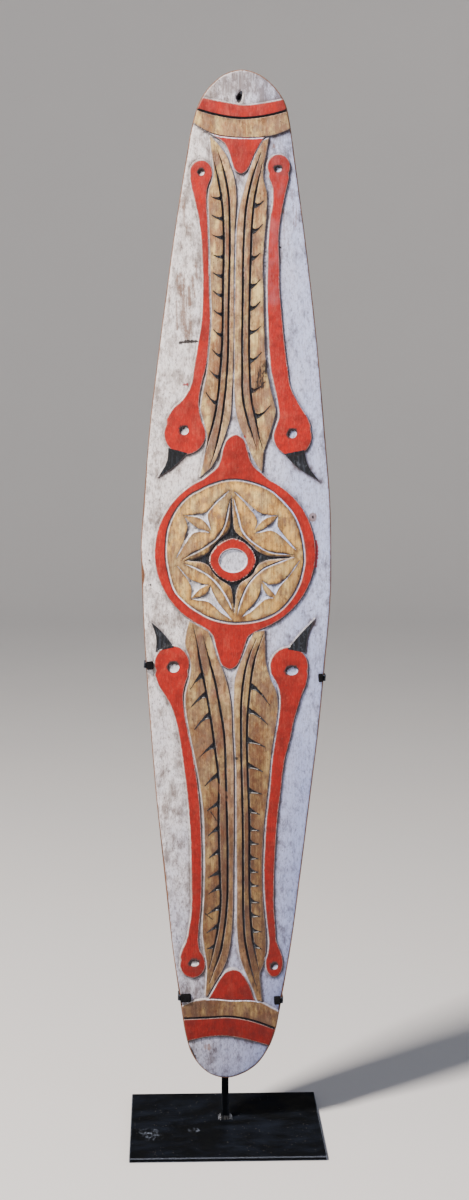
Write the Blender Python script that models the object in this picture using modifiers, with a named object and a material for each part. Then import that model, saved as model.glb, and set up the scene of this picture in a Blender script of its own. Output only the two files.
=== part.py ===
"""Carved and painted wooden ceremonial shield, held upright by a black steel stand.

Lengths are in metres, +Z is up, and the carved face looks along -Y. The origin is the centre of the
base plate's underside. The carving is drawn on a grid that lies on the board's face: across runs to the
right, up runs from the board's lowest point, and the board is GRID_LENGTH steps long, so every figure
keeps its share of the board when BOARD_LENGTH changes.
"""
import math

import bmesh
import bpy
from mathutils import Matrix, Vector

MM = 0.001

# The board
BOARD_LENGTH = 1400 * MM
GRID_LENGTH = 1400
GRID = BOARD_LENGTH / GRID_LENGTH
BOARD_THICKNESS = 20 * MM
BOARD_FOOT_X = 4.9 * MM
BOARD_FOOT_CLEARANCE = 66.5 * MM
BOARD_LEAN = math.radians(0.62)
BOARD_FRONT_Y = -2 * MM
SIDE_DROP = 4.0 * MM
END_DROP = 4.0 * MM
BACK_CHAMFER = 5.0 * MM

# Relief: how far figures stand above the ground, and how deep cuts go below the figures' tops
FIGURE_HEIGHT = 2.6 * MM
TONGUE_HEIGHT = 2.4 * MM
BEAK_HEIGHT = 1.6 * MM
ROOT_DEPTH = 1.0 * MM
GROOVE_DEPTH = 2.2 * MM
NOTCH_DEPTH = 1.9 * MM
FINE_LINE_DEPTH = 1.0 * MM
HOLLOW_DEPTH = 2.6 * MM
STAR_DEPTH = 3.4 * MM
EYE_DEPTH = 2.5 * MM
SLIT_DEPTH = 9.0 * MM

# The grip on the back
GRIP_CENTRE = 762
GRIP_LENGTH = 150 * MM
GRIP_WIDTH = 30 * MM
GRIP_STAND_OFF = 36 * MM
GRIP_BAR = 13 * MM
GRIP_FOOT_SLOPE = 16 * MM
GRIP_FOOT_LENGTH = 26 * MM
GRIP_CHAMFER = 4.0 * MM

# The stand
PLATE_WIDTH = 270 * MM
PLATE_DEPTH = 250 * MM
PLATE_THICKNESS = 6 * MM
POST_SIZE = 10 * MM
WELD_LEG = 5 * MM
WELD_CREST = 1 * MM
STRIP_THICKNESS = 1.8 * MM
STRIP_HEIGHT = 8 * MM
STRIP_BEND_RADIUS = 2.4 * MM
STRIP_BEND_STEPS = 3
POST_TOP_MARGIN = 6 * MM
EDGE_CHAMFER = 0.8 * MM
HOOK_CLEARANCE = 1.1 * MM
GAP = 0.3 * MM
SLEEVE_WALL = 1.5 * MM
SLEEVE_ROUNDING = 1.4 * MM
SLEEVE_START = 1.2 * MM

# Each arm: how high its left and right hooks hold the board, on the grid, and how far they reach in
ARMS = {
    "upper": {"left": (591.5, 10.5 * MM), "right": (575.0, 7.7 * MM)},
    "lower": {"left": (118.3, 15.9 * MM), "right": (114.5, 10.3 * MM)},
}

# Steps of a smooth line between two of its points, and round an end
LINE_STEPS = 2
ARC_STEPS = 12

# How far a point stands off the line between its neighbours to be kept, how close two points are to be
# merged, how near a level counts as on it, and the least angle of an edge that gets a chamfer
LEAST_BEND = 0.25
MERGE_DISTANCE = 0.01 * MM
LEVEL_MARGIN = 0.1 * MM
SHARP_ANGLE = 0.3

# The board's sides: up, left edge, right edge
BOARD_ROWS = (
    (5, -25.4, 17), (20, -43.4, 39.7), (36, -53.6, 51.5), (66, -62.6, 64), (113, -69.7, 72.3),
    (182, -80.8, 84), (282, -91.5, 96), (400, -105.5, 108.8), (513, -115.4, 120.8),
    (600, -122, 127.5), (682, -126.5, 133.5), (700, -127, 134), (713, -125, 134.2),
    (736, -128.5, 133.8), (820, -125, 131), (913, -119, 122), (1020, -107, 111.5),
    (1113, -95.5, 100), (1200, -84, 88), (1282, -71, 75.6), (1328, -63, 68.5), (1359, -53, 60.5),
    (1381, -37, 44), (1395, -18, 24),
)
BOARD_LOW_TIP = (-1, 0)
BOARD_HIGH_TIP = (3, 1400)

# The bands across both ends: lines from left to right, past both edges
TOP_BAND_UPPER = ((-64, 1365), (-20, 1356.5), (5, 1353), (40, 1357.5), (68, 1363.5))
TOP_BAND_GROOVE = ((-70, 1350.5), (-40, 1341.5), (5, 1335.5), (40, 1340), (75, 1350))
TOP_BAND_LOWER = ((-72, 1336), (-45, 1318), (10, 1310), (45, 1313.5), (76, 1325.5))
LOW_BAND_UPPER = ((-80, 98), (-52, 112.7), (-28, 116), (0, 114.2), (45, 110.8), (60, 102.7), (82, 90))
LOW_BAND_GROOVE = ((-76, 87), (-25, 89.6), (-6, 90.8), (23, 87.3), (52, 78), (76, 67.5))
LOW_BAND_LOWER = ((-72, 51), (-32, 61), (-9, 62.7), (21.5, 58), (37, 54), (70, 43.5))
BAND_GROOVE_WIDTH = 2.2

# A groove thins out over this share of its length at both ends, to this share of its width
GROOVE_TAPER = 0.12
MARGIN_TAPER = 0.3
TAPERED_WIDTH = 0.3

# The red tongues between the feathers: base rows first, each up, left and right, and then the tip
TOP_TONGUE = {
    "rows": (
        (1323, -52, 50), (1313, -37, 36), (1302, -20, 28.5), (1285, -12, 19.3), (1272, -8, 14),
        (1265, -4, 9.5),
    ),
    "tip": (3, 1262),
}
LOW_TONGUE = {
    "rows": (
        (106, -42, 44), (117, -30.5, 34.5), (130, -23, 30), (141, -17.2, 25), (150.5, -11, 19.2),
        (156.5, -4.6, 13.5),
    ),
    "tip": (4.6, 159.3),
}
RING_UPPER_TONGUE = {
    "rows": ((858, -34, 36.5), (866, -25.4, 26.5), (876, -20.8, 20), (890, -18, 16), (905, -11.5, 10.2)),
    "tip": (0, 911),
}
RING_LOWER_TONGUE = {
    "rows": ((640, -34.5, 31), (633, -29.4, 20.2), (620, -25.4, 15.4), (606, -21.5, 10.8), (592, -15.5, 4.6)),
    "tip": (-4, 586.8),
}
RING_TONGUE_HALF_WIDTH = 46

# The rosette in the middle: ellipses are centre across, centre up, radius across, radius up
RING_OUTER = (0.5, 748, 111, 111)
RING_INNER = (2.3, 749, 97.5, 101)
DISC_EDGE = (2.3, 749, 94.0, 97.5)
STAR_RING = (-3, 738.6, 32, 30)
STAR_EYE = (-2.2, 738, 19.4, 16.5)
STAR_TIPS = ((-5.4, 823.5), (-64.6, 737.3), (1.5, 669), (80, 743))
STAR_PULLS = (0.66, 0.56, 0.64, 0.72)
STAR_RING_GAP = 2.0
STAR_CENTRE = (-1, 741)
MARGIN_TIPS = ((-6, 831), (-72.3, 737.8), (0.8, 661), (82.3, 745.8))
MARGIN_PULLS = (0.47, 0.28, 0.39, 0.63)
MARGIN_LINE_WIDTH = 1.6

# Chip-cut hollows, in pairs with a leaf between: centre, then three tips in order round it
HOLLOWS = (
    ((-41, 798), (-9, 833), (-69, 799), (-34, 782)),
    ((-59, 783), (-67, 797), (-80, 740), (-35.4, 776.5)),
    ((34, 797), (-1, 832), (29, 782), (58.5, 799)),
    ((51, 785), (58, 798), (30, 777), (84.6, 754)),
    ((-54, 702), (-37, 705), (-79, 728), (-58, 686)),
    ((-37, 689), (-34.5, 703), (-57.5, 684), (-4.6, 656.5)),
    ((56, 702), (88.5, 737), (40, 709), (58, 690)),
    ((40, 689), (37, 705), (10.8, 659.6), (54, 686)),
)
HOLLOW_WAIST = 4.5
HOLLOW_ARM_BEND = 0.42

# Birds: rows up, left and right along the neck; ends are ellipses, the big one the head
BIRDS = {
    "upper_left": {
        "rows": (
            (931, -95.4, -48), (946, -86, -51), (957, -74, -51.3), (980, -61.5, -47.7),
            (1000, -58.5, -42.5), (1036, -52.8, -38.5), (1066, -48.5, -36.8), (1105, -47.3, -38.4),
            (1150, -48.4, -39.6), (1200, -53.4, -41.6), (1228, -60, -43.4), (1243, -63.5, -42.5),
            (1255, -66, -37.5),
        ),
        "bottom_end": (-70, 911, 28.5, 28),
        "top_end": (-51, 1263.5, 15.2, 15.7),
        "beak": ((-93, 892), (-94, 876), (-107, 851), (-88, 863), (-66, 885)),
        "eyes": ((-71, 916, 6.3, 6.3), (-51, 1263, 4.6, 4.6)),
    },
    "upper_right": {
        "rows": (
            (924, 55, 102.3), (936, 58.5, 97), (950, 57.4, 87.7), (979, 51, 73), (1000, 46.4, 69.7),
            (1020, 44.2, 66.6), (1051, 42.3, 62.8), (1082, 40.8, 59.5), (1113, 40, 56.6),
            (1143, 40.3, 56.2), (1174, 40.8, 54.6), (1200, 42.6, 56.6), (1228, 46.5, 61.5),
            (1244, 45.5, 65), (1258, 40, 68),
        ),
        "bottom_end": (77.5, 909, 26.3, 26.3),
        "top_end": (53.7, 1272, 15.7, 16.5),
        "beak": ((66, 885), (85, 866), (117, 847), (99.5, 870), (94, 891)),
        "eyes": ((77, 913, 6.4, 6.4), (53, 1269, 5, 4.4)),
    },
    "lower_left": {
        "rows": (
            (177, -70.8, -37), (188, -67.7, -43.5), (200, -62.3, -45.4), (220, -58.5, -44.6),
            (245, -55.4, -42.3), (282, -55.8, -41.5), (343, -57.4, -42.3), (413, -63, -47),
            (470, -71, -56), (500, -76, -62.5), (534, -86, -68.7), (548, -94, -69.6),
            (563, -103.5, -67.5), (578, -109, -62.5),
        ),
        "bottom_end": (-53, 166, 17.9, 18.7),
        "top_end": (-85.4, 594, 24, 25.2),
        "beak": ((-82, 617), (-99, 638), (-115.4, 652.7), (-108, 632), (-108, 611)),
        "eyes": ((-83, 588.8, 8, 7.5), (-51, 168.5, 7, 5)),
    },
    "lower_right": {
        "rows": (
            (178, 51.5, 73.3), (188, 53.4, 69.5), (200, 54, 64.8), (220, 51.8, 63), (251, 48.4, 60.3),
            (282, 46, 60), (343, 46.6, 61.8), (374, 48.2, 63.5), (417, 52.3, 68), (454, 54.8, 71.8),
            (494, 60, 81), (513, 63, 84.5), (535, 65, 90.5), (551, 64.8, 95.4), (566, 60.5, 101),
            (580, 52.5, 103.5),
        ),
        "bottom_end": (62, 168, 12.3, 19.5),
        "top_end": (77, 591.5, 26.5, 26.5),
        "beak": ((100, 610), (103, 633), (112.3, 658), (93, 638), (74, 615)),
        "eyes": ((80.8, 585.3, 9, 6.7), (62.3, 164, 5, 5)),
    },
}

# Feathers: lines from the top down, each notch as its root's height and how far its tip rises above it,
# the height of a notch's mouth, and the share of the vane that a notch crosses
FEATHERS = {
    "upper_left": {
        "outer_edge": (
            (-40, 1311), (-37.5, 1290), (-34.3, 1270), (-34.8, 1257), (-40.2, 1240), (-39.9, 1200),
            (-38, 1150), (-36.6, 1105), (-35, 1066), (-36.8, 1036), (-40.8, 995), (-46.5, 965),
            (-49, 945), (-44, 926), (-40, 909), (-41.5, 892), (-45, 872), (-49.5, 851.5),
        ),
        "inner_edge": (
            (-37, 1310), (-26, 1298), (-17, 1286), (-11.5, 1272), (-6.5, 1257), (-3.4, 1240),
            (-3.4, 1215), (-4.8, 1190), (-4.9, 1000), (-6.5, 965), (-8.5, 932), (-13.5, 915),
            (-21, 893), (-27, 877), (-34, 865),
        ),
        "outer_groove": (
            (-36, 1287), (-31, 1268), (-26, 1246), (-22, 1222), (-20.2, 1200), (-19.7, 1100),
            (-19.9, 1040), (-22.8, 990), (-26, 955), (-31, 928), (-37, 905), (-42.3, 884),
        ),
        "inner_groove": (
            (-30.5, 1297), (-23.5, 1277), (-17, 1253), (-13, 1230), (-11.6, 1200), (-11.8, 1080),
            (-12.5, 1005), (-16.5, 955), (-22.8, 913), (-28, 890), (-35, 868),
        ),
        "notches": (
            (1230, 1), (1203, 3.5), (1178, 2), (1152, 1.5), (1126, 3.5), (1100, 5), (1075, 4),
            (1047, 6), (1019, 7.5), (990, 8), (955, 13),
        ),
        "notch_mouth": 6.5,
        "notch_share": 0.80,
    },
    "upper_right": {
        "outer_edge": (
            (40, 1310), (36.5, 1288), (33, 1268), (34, 1253), (38, 1240), (38.4, 1215), (35.5, 1175),
            (33.8, 1140), (34.8, 1110), (37, 1055), (40, 1005), (45, 980), (51, 957), (54, 944),
            (49, 922), (43.5, 903), (38.7, 889), (37.6, 876), (36.5, 862),
        ),
        "inner_edge": (
            (32, 1306), (22, 1287), (13, 1262), (6, 1237), (1.6, 1218), (-1.8, 1195), (-3, 1150),
            (-3.2, 1000), (-2.8, 960), (-0.5, 940), (5.5, 919), (12.5, 904), (21, 884), (28, 870),
            (35.4, 860),
        ),
        "outer_groove": (
            (32, 1276), (26.5, 1252), (22, 1230), (19.5, 1205), (17.5, 1150), (16.6, 1082),
            (17.7, 1000), (20.8, 959), (27.7, 928), (33, 904), (37.6, 891),
        ),
        "inner_groove": (
            (30, 1290), (22, 1268), (14.5, 1240), (10, 1212), (8, 1174), (7.3, 1100), (7.7, 1000),
            (9.2, 959), (14.5, 935), (21.5, 913), (30, 888),
        ),
        "notches": (
            (1221, 6), (1187, 8), (1151, 6), (1113, 8), (1083, 9), (1051, 7.5), (1013, 10),
            (972, 11), (937.5, 13.5),
        ),
        "notch_mouth": 7.5,
        "notch_share": 0.77,
    },
    "lower_left": {
        "outer_edge": (
            (-62, 654), (-66, 638), (-67.6, 620), (-62.4, 606), (-59.2, 592), (-61, 574), (-66.6, 552),
            (-66, 530), (-60, 497), (-52.6, 462), (-46, 428), (-40, 384), (-38, 343), (-37.8, 265),
            (-39.8, 215), (-37, 188), (-33.2, 166), (-33.2, 150), (-35, 121),
        ),
        "inner_edge": (
            (-35.5, 640), (-28.5, 622), (-22.5, 603), (-14.5, 585), (-7, 560), (-3, 538), (-1, 500),
            (1.2, 466), (2.4, 430), (2.8, 300), (2.8, 240), (0.3, 200), (-3.5, 178), (-10, 160),
            (-19.5, 143), (-32, 120),
        ),
        "outer_groove": (
            (-56.5, 648), (-51, 624), (-46, 595), (-40, 568), (-34, 536), (-28, 500), (-23.5, 468),
            (-19.5, 440), (-18.5, 374), (-16, 300), (-14.3, 255), (-17.7, 220), (-23, 190),
            (-29.5, 160),
        ),
        "inner_groove": (
            (-42.3, 633), (-34, 601), (-26, 572), (-18, 532), (-12, 497), (-9.3, 445), (-6.8, 380),
            (-5, 310), (-5.4, 255), (-9, 215), (-15, 181), (-23, 157), (-28.5, 140),
        ),
        "notches": (
            (580.5, -22), (553.5, -20.5), (524.5, -23), (481.5, -18.5), (440, -18), (399.5, -12.5),
            (364.5, -13), (331.5, -12.5), (301.5, -9.5), (280.5, -12.5), (251.5, -12.5), (224.5, -12.5),
            (195.5, -6.5),
        ),
        "notch_mouth": 9.5,
        "notch_share": 0.75,
    },
    "lower_right": {
        "outer_edge": (
            (42.5, 642), (43.8, 620), (44.5, 600), (52, 573), (59.5, 557), (62.3, 540), (60, 508),
            (54.5, 472), (51.2, 430), (47, 385), (44.2, 350), (43.5, 290), (46, 248), (50, 205),
            (49.8, 183), (46.6, 166), (42.2, 154), (43.5, 135), (45.5, 112.5),
        ),
        "inner_edge": (
            (27.5, 638.5), (20, 624), (14, 608), (7, 591), (1.5, 572), (0.6, 550), (1.6, 505),
            (4.4, 460), (5.6, 405), (6.6, 340), (8, 270), (9.5, 205), (14, 175), (23, 151),
            (32.5, 130), (38, 114),
        ),
        "outer_groove": (
            (41.3, 636), (33, 613), (27, 590), (23, 555), (20.3, 520), (20, 482), (22, 430),
            (24.6, 374), (25.5, 300), (28, 235), (32, 198), (37, 174), (41, 157),
        ),
        "inner_groove": (
            (31.5, 630), (23, 609), (17, 588), (12.3, 555), (11.7, 490), (13.7, 425), (15.5, 370),
            (16.6, 300), (18, 235), (21.5, 195), (27, 170), (34, 145), (38.5, 131),
        ),
        "notches": (
            (565, -28), (531, -21.5), (489, -11), (453.5, -11), (418, -7), (390, -8.6), (364, -5),
            (344, -4), (323, -4), (304, -4.5), (284, -4), (261, -5.5), (240, -3.5), (218, -4),
            (196, -7.6),
        ),
        "notch_mouth": 8.5,
        "notch_share": 0.70,
    },
}
FEATHER_GROOVE_WIDTH = 2.4

# A notch: its line's width, the share of its mouth above its root, and where its sides bend, as shares
# of its reach and of its mouth
NOTCH_LINE_WIDTH = 1.4
NOTCH_MOUTH_ABOVE = 0.35
NOTCH_BEND_REACH = 0.4
NOTCH_BEND_DROP = 0.45
SLIT = ((2.6, 1371.5), (-3.9, 1364), (-1.4, 1356), (3, 1363))

PARTS_NAME = "ceremonial_shield"
CUTTERS_NAME = "ceremonial_shield_cutters"

# Finishes: linear red, green and blue, roughness, and how metallic
PAINTED_WOOD = ((0.58, 0.56, 0.53), 0.85, 0.0)
BLACK_PLATE = ((0.012, 0.014, 0.018), 0.45, 0.3)
BLACK_STEEL = ((0.010, 0.012, 0.016), 0.45, 0.3)
WELD_STEEL = ((0.16, 0.17, 0.19), 0.35, 0.8)
BLACK_RUBBER = ((0.016, 0.017, 0.020), 0.7, 0.0)


def slope_at(before, here, after):
    """Direction of a smooth line where it passes the middle one of three points."""
    back = (here - before).length
    ahead = (after - here).length
    if back == 0:
        return (after - here) / ahead
    if ahead == 0:
        return (here - before) / back
    return ((here - before) / back * ahead + (after - here) / ahead * back) / (back + ahead)


def curve_through(points, steps=LINE_STEPS, closed=False):
    """Points of a smooth line through the given ones, with this many steps from each to the next."""
    knots = [Vector(point) for point in points]
    count = len(knots)
    line = []
    for index in range(count if closed else count - 1):
        before = knots[index - 1] if closed or index > 0 else knots[0]
        start = knots[index]
        end = knots[(index + 1) % count]
        after = knots[(index + 2) % count] if closed or index + 2 < count else end
        span = (end - start).length
        leave = slope_at(before, start, end) * span
        arrive = slope_at(start, end, after) * span
        for step in range(steps):
            t = step / steps
            line.append(
                start * (2 * t**3 - 3 * t**2 + 1) + leave * (t**3 - 2 * t**2 + t)
                + end * (3 * t**2 - 2 * t**3) + arrive * (t**3 - t**2)
            )
    if not closed:
        line.append(knots[-1])
    return line


def bow(start, pull, end, steps=LINE_STEPS):
    """Points of a bent line from the start to just before the end, drawn towards the pull."""
    start, pull, end = Vector(start), Vector(pull), Vector(end)
    line = []
    for step in range(steps):
        t = step / steps
        line.append(start * (1 - t)**2 + pull * (2 * t * (1 - t)) + end * t**2)
    return line


def ellipse(shape, steps):
    """Closed ellipse, counter-clockwise, from its centre and its two radii."""
    across, up, radius_across, radius_up = shape
    turns = [2 * math.pi * step / steps for step in range(steps)]
    return [Vector((across + radius_across * math.cos(a), up + radius_up * math.sin(a))) for a in turns]


def end_arc(shape, start, stop, steps=ARC_STEPS):
    """Counter-clockwise round the far side of an elliptic end, from near start to near stop."""
    across, up, radius_across, radius_up = shape
    first = math.atan2((start.y - up) / radius_up, (start.x - across) / radius_across)
    last = math.atan2((stop.y - up) / radius_up, (stop.x - across) / radius_across)
    if last < first:
        last += 2 * math.pi
    arc = []
    for step in range(1, steps):
        angle = first + (last - first) * step / steps
        arc.append(Vector((across + radius_across * math.cos(angle), up + radius_up * math.sin(angle))))
    return arc


def board_outline(steps=LINE_STEPS):
    """Counter-clockwise outline of the board."""
    right = [(row[2], row[0]) for row in BOARD_ROWS]
    left = [(row[1], row[0]) for row in reversed(BOARD_ROWS)]
    return curve_through([BOARD_LOW_TIP, *right, BOARD_HIGH_TIP, *left], steps, closed=True)


def board_edge(up, side):
    """How far across the board's left or right edge is at a height on the grid."""
    for low, high in zip(BOARD_ROWS, BOARD_ROWS[1:]):
        if low[0] <= up <= high[0]:
            share = (up - low[0]) / (high[0] - low[0])
            left = low[1] + (high[1] - low[1]) * share
            right = low[2] + (high[2] - low[2]) * share
            return left if side == "left" else right
    raise ValueError("height off the board")


def tongue_line(tongue):
    """Smooth line down the left side of a tongue, round its tip and back along the right side."""
    left = [(row[1], row[0]) for row in tongue["rows"]]
    right = [(row[2], row[0]) for row in reversed(tongue["rows"])]
    return curve_through([*left, tongue["tip"], *right])


def ring_outline():
    """Counter-clockwise outline of the ring with its two tongues."""
    across, up, radius, _ = RING_OUTER
    foot = math.sqrt(radius**2 - RING_TONGUE_HALF_WIDTH**2)
    right_top = Vector((across + RING_TONGUE_HALF_WIDTH, up + foot))
    left_top = Vector((across - RING_TONGUE_HALF_WIDTH, up + foot))
    right_bottom = Vector((across + RING_TONGUE_HALF_WIDTH, up - foot))
    left_bottom = Vector((across - RING_TONGUE_HALF_WIDTH, up - foot))
    upper = list(reversed(tongue_line(RING_UPPER_TONGUE)))
    lower = tongue_line(RING_LOWER_TONGUE)
    right_side = end_arc(RING_OUTER, right_bottom, right_top, 2 * ARC_STEPS)
    left_side = end_arc(RING_OUTER, left_top, left_bottom, 2 * ARC_STEPS)
    return [*lower, right_bottom, *right_side, right_top, *upper, left_top, *left_side, left_bottom]


def bird_outline(bird):
    """Counter-clockwise outline of a bird's head, neck and small end."""
    right = curve_through([(row[2], row[0]) for row in bird["rows"]])
    left = curve_through([(row[1], row[0]) for row in reversed(bird["rows"])])
    bottom = end_arc(bird["bottom_end"], left[-1], right[0])
    top = end_arc(bird["top_end"], right[-1], left[0])
    return bottom + right + top + left


def beak_outline(bird):
    """Beak: from a corner at the head along a side to the tip, and back along the other side."""
    corner, side, tip, other_side, other_corner = bird["beak"]
    return curve_through([corner, side, tip]) + curve_through([tip, other_side, other_corner])[1:]


def feather_outline(feather):
    """A whole feather, between its outer and its inner edge."""
    return curve_through(feather["outer_edge"]) + list(reversed(curve_through(feather["inner_edge"])))


def strip_outline(line, width, taper=GROOVE_TAPER):
    """A strip along a line, that thins out over this share of its length at both ends."""
    last = len(line) - 1
    sides = ([], [])
    for index, point in enumerate(line):
        ahead = (line[min(index + 1, last)] - line[max(index - 1, 0)]).normalized()
        normal = Vector((-ahead.y, ahead.x))
        share = index / last
        full = min(1, TAPERED_WIDTH + (1 - TAPERED_WIDTH) * min(share, 1 - share) / taper)
        sides[0].append(point + normal * (width / 2 * full))
        sides[1].append(point - normal * (width / 2 * full))
    return sides[0] + list(reversed(sides[1]))


def across_at(line, up):
    """Where a line, given by its points, crosses a height on the grid."""
    for start, end in zip(line, line[1:]):
        if min(start.y, end.y) <= up <= max(start.y, end.y):
            return start.x + (end.x - start.x) * (up - start.y) / (end.y - start.y)
    raise ValueError("height off the line")


def notch_outline(feather, root_up, rise):
    """A claw-shaped notch from the outer groove towards the vane's edge."""
    groove = curve_through(feather["outer_groove"])
    edge = curve_through(feather["outer_edge"])
    root = Vector((across_at(groove, root_up), root_up))
    reach = (across_at(edge, root_up + rise) - root.x) * feather["notch_share"]
    tip = root + Vector((reach, rise))
    mouth = feather["notch_mouth"]
    high_up = root_up + NOTCH_MOUTH_ABOVE * mouth
    low_up = root_up - (1 - NOTCH_MOUTH_ABOVE) * mouth
    high = Vector((across_at(groove, high_up), high_up))
    low = Vector((across_at(groove, low_up), low_up))
    middle = root + Vector((NOTCH_BEND_REACH * reach, -NOTCH_BEND_DROP * mouth))
    half_line = Vector((0, NOTCH_LINE_WIDTH / 2))
    return bow(low, middle - half_line, tip) + bow(tip, middle + half_line, high) + [high]


def concave_side(start, end, centre, pull):
    """Points of a side that starts and ends heading for the centre."""
    first = start.lerp(centre, pull)
    second = end.lerp(centre, pull)
    steps = 4 * LINE_STEPS
    line = []
    for step in range(steps + 1):
        t = step / steps
        line.append(
            start * (1 - t)**3 + first * (3 * t * (1 - t)**2)
            + second * (3 * t**2 * (1 - t)) + end * t**3
        )
    return line


def star_sides(tips, pulls):
    """The concave sides of a four-pointed star, each as a list of points with its own pull."""
    starts = [Vector(tip) for tip in tips]
    ends = starts[1:] + starts[:1]
    centre = Vector(STAR_CENTRE)
    return [concave_side(a, b, centre, pull) for a, b, pull in zip(starts, ends, pulls)]


def outside_ring(point):
    """The point itself, or the nearest place that keeps the gap round the star's ring."""
    across, up, radius_across, radius_up = STAR_RING
    offset = point - Vector((across, up))
    reach = math.hypot(offset.x / (radius_across + STAR_RING_GAP), offset.y / (radius_up + STAR_RING_GAP))
    return point if reach >= 1 else Vector((across, up)) + offset / reach


def hollow_outline(centre, *tips):
    """A three-armed chip-cut hollow: arms thin out from its waist to their tips."""
    centre = Vector(centre)
    tips = [Vector(tip) for tip in tips]
    tips.sort(key=lambda tip: math.atan2(tip.y - centre.y, tip.x - centre.x))
    outline = []
    for index, tip in enumerate(tips):
        before = (tips[index - 1] - centre).normalized()
        here = (tip - centre).normalized()
        after = (tips[(index + 1) % len(tips)] - centre).normalized()
        near = centre + between(before, here) * HOLLOW_WAIST
        far = centre + between(here, after) * HOLLOW_WAIST
        middle = centre.lerp(tip, HOLLOW_ARM_BEND)
        outline += bow(near, middle, tip, LINE_STEPS + 1) + bow(tip, middle, far, LINE_STEPS + 1)
    return outline


def between(first, second):
    """Direction halfway between two directions, turning counter-clockwise from the first."""
    turn = (math.atan2(second.y, second.x) - math.atan2(first.y, first.x)) % (2 * math.pi)
    angle = math.atan2(first.y, first.x) + turn / 2
    return Vector((math.cos(angle), math.sin(angle)))


def remove_all_objects():
    """Start from an empty scene."""
    for old in list(bpy.data.objects):
        bpy.data.objects.remove(old, do_unlink=True)


def new_collection(name):
    """A collection under the scene's own."""
    collection = bpy.data.collections.new(name)
    bpy.context.scene.collection.children.link(collection)
    return collection


def painted(name, finish):
    """A plain material of one of the finishes."""
    colour, roughness, metallic = finish
    material = bpy.data.materials.new(name)
    material.use_nodes = True
    shader = material.node_tree.nodes["Principled BSDF"]
    shader.inputs["Base Color"].default_value = (*colour, 1)
    shader.inputs["Roughness"].default_value = roughness
    shader.inputs["Metallic"].default_value = metallic
    return material


def as_cutter(obj, cutters):
    """Keep an object as a guide that isn't part of the model."""
    cutters.objects.link(obj)
    obj.hide_render = True
    obj.display_type = "WIRE"
    return obj


def without_straight_points(outline):
    """The outline without the points that its neighbours nearly line up with."""
    kept = [outline[0]]
    for here, after in zip(outline[1:], outline[2:]):
        along = after - kept[-1]
        off_line = abs(along.cross(here - kept[-1])) / along.length
        if off_line > LEAST_BEND:
            kept.append(here)
    kept.append(outline[-1])
    return kept


def flat_shape(name, outlines, low, high, cutters):
    """Closed outlines on the grid, drawn out from the low level to the high one; inner ones are holes."""
    curve = bpy.data.curves.new(name, "CURVE")
    curve.dimensions = "2D"
    curve.fill_mode = "BOTH"
    curve.extrude = (high - low) / 2
    for outline in outlines:
        outline = without_straight_points(outline)
        spline = curve.splines.new("POLY")
        spline.points.add(len(outline) - 1)
        for point, place in zip(spline.points, outline):
            point.co = (place.x * GRID, place.y * GRID, 0, 1)
        spline.use_cyclic_u = True
    drawn = bpy.data.objects.new(name + "_curve", curve)
    drawn.location.z = (high + low) / 2
    cutters.objects.link(drawn)
    bpy.context.view_layer.update()
    depsgraph = bpy.context.evaluated_depsgraph_get()
    mesh = bpy.data.meshes.new_from_object(drawn.evaluated_get(depsgraph))
    mesh.transform(drawn.matrix_world)
    bpy.data.objects.remove(drawn)
    weld(mesh)
    return as_cutter(bpy.data.objects.new(name, mesh), cutters)


def weld(mesh):
    """Merge the loose rims of a mesh made from a curve, and point its faces outwards."""
    shape = bmesh.new()
    shape.from_mesh(mesh)
    bmesh.ops.remove_doubles(shape, verts=shape.verts, dist=MERGE_DISTANCE)
    bmesh.ops.recalc_face_normals(shape, faces=shape.faces)
    shape.to_mesh(mesh)
    shape.free()


def combine(target, tool, operation):
    """Join a tool to the target, cut it away, or keep what both share."""
    modifier = target.modifiers.new(tool.name, "BOOLEAN")
    modifier.operation = operation
    modifier.object = tool


def bake(obj):
    """Replace an object's mesh with what its modifiers make of it."""
    bpy.context.view_layer.update()
    depsgraph = bpy.context.evaluated_depsgraph_get()
    mesh = bpy.data.meshes.new_from_object(obj.evaluated_get(depsgraph))
    obj.modifiers.clear()
    obj.data = mesh


def chamfer(mesh, width, chosen):
    """Flatten the edges that the test picks."""
    shape = bmesh.new()
    shape.from_mesh(mesh)
    edges = [edge for edge in shape.edges if chosen(edge)]
    bmesh.ops.bevel(shape, geom=edges, offset=width, segments=1, affect="EDGES", clamp_overlap=True)
    shape.to_mesh(mesh)
    shape.free()


def box_mesh(name, low, high):
    """A box between two corners, as a mesh."""
    shape = bmesh.new()
    bmesh.ops.create_cube(shape, size=1)
    size = [b - a for a, b in zip(low, high)]
    middle = [(a + b) / 2 for a, b in zip(low, high)]
    bmesh.ops.scale(shape, vec=size, verts=shape.verts)
    bmesh.ops.translate(shape, vec=middle, verts=shape.verts)
    mesh = bpy.data.meshes.new(name)
    shape.to_mesh(mesh)
    shape.free()
    return mesh


def front_drop(across, up):
    """How far the crowned front lies behind its highest line; both places are on the board in metres."""
    half_width = max(row[2] for row in BOARD_ROWS) * GRID
    half_length = BOARD_LENGTH / 2
    return SIDE_DROP * (across / half_width)**2 + END_DROP * abs(up / half_length - 1)**3


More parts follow.
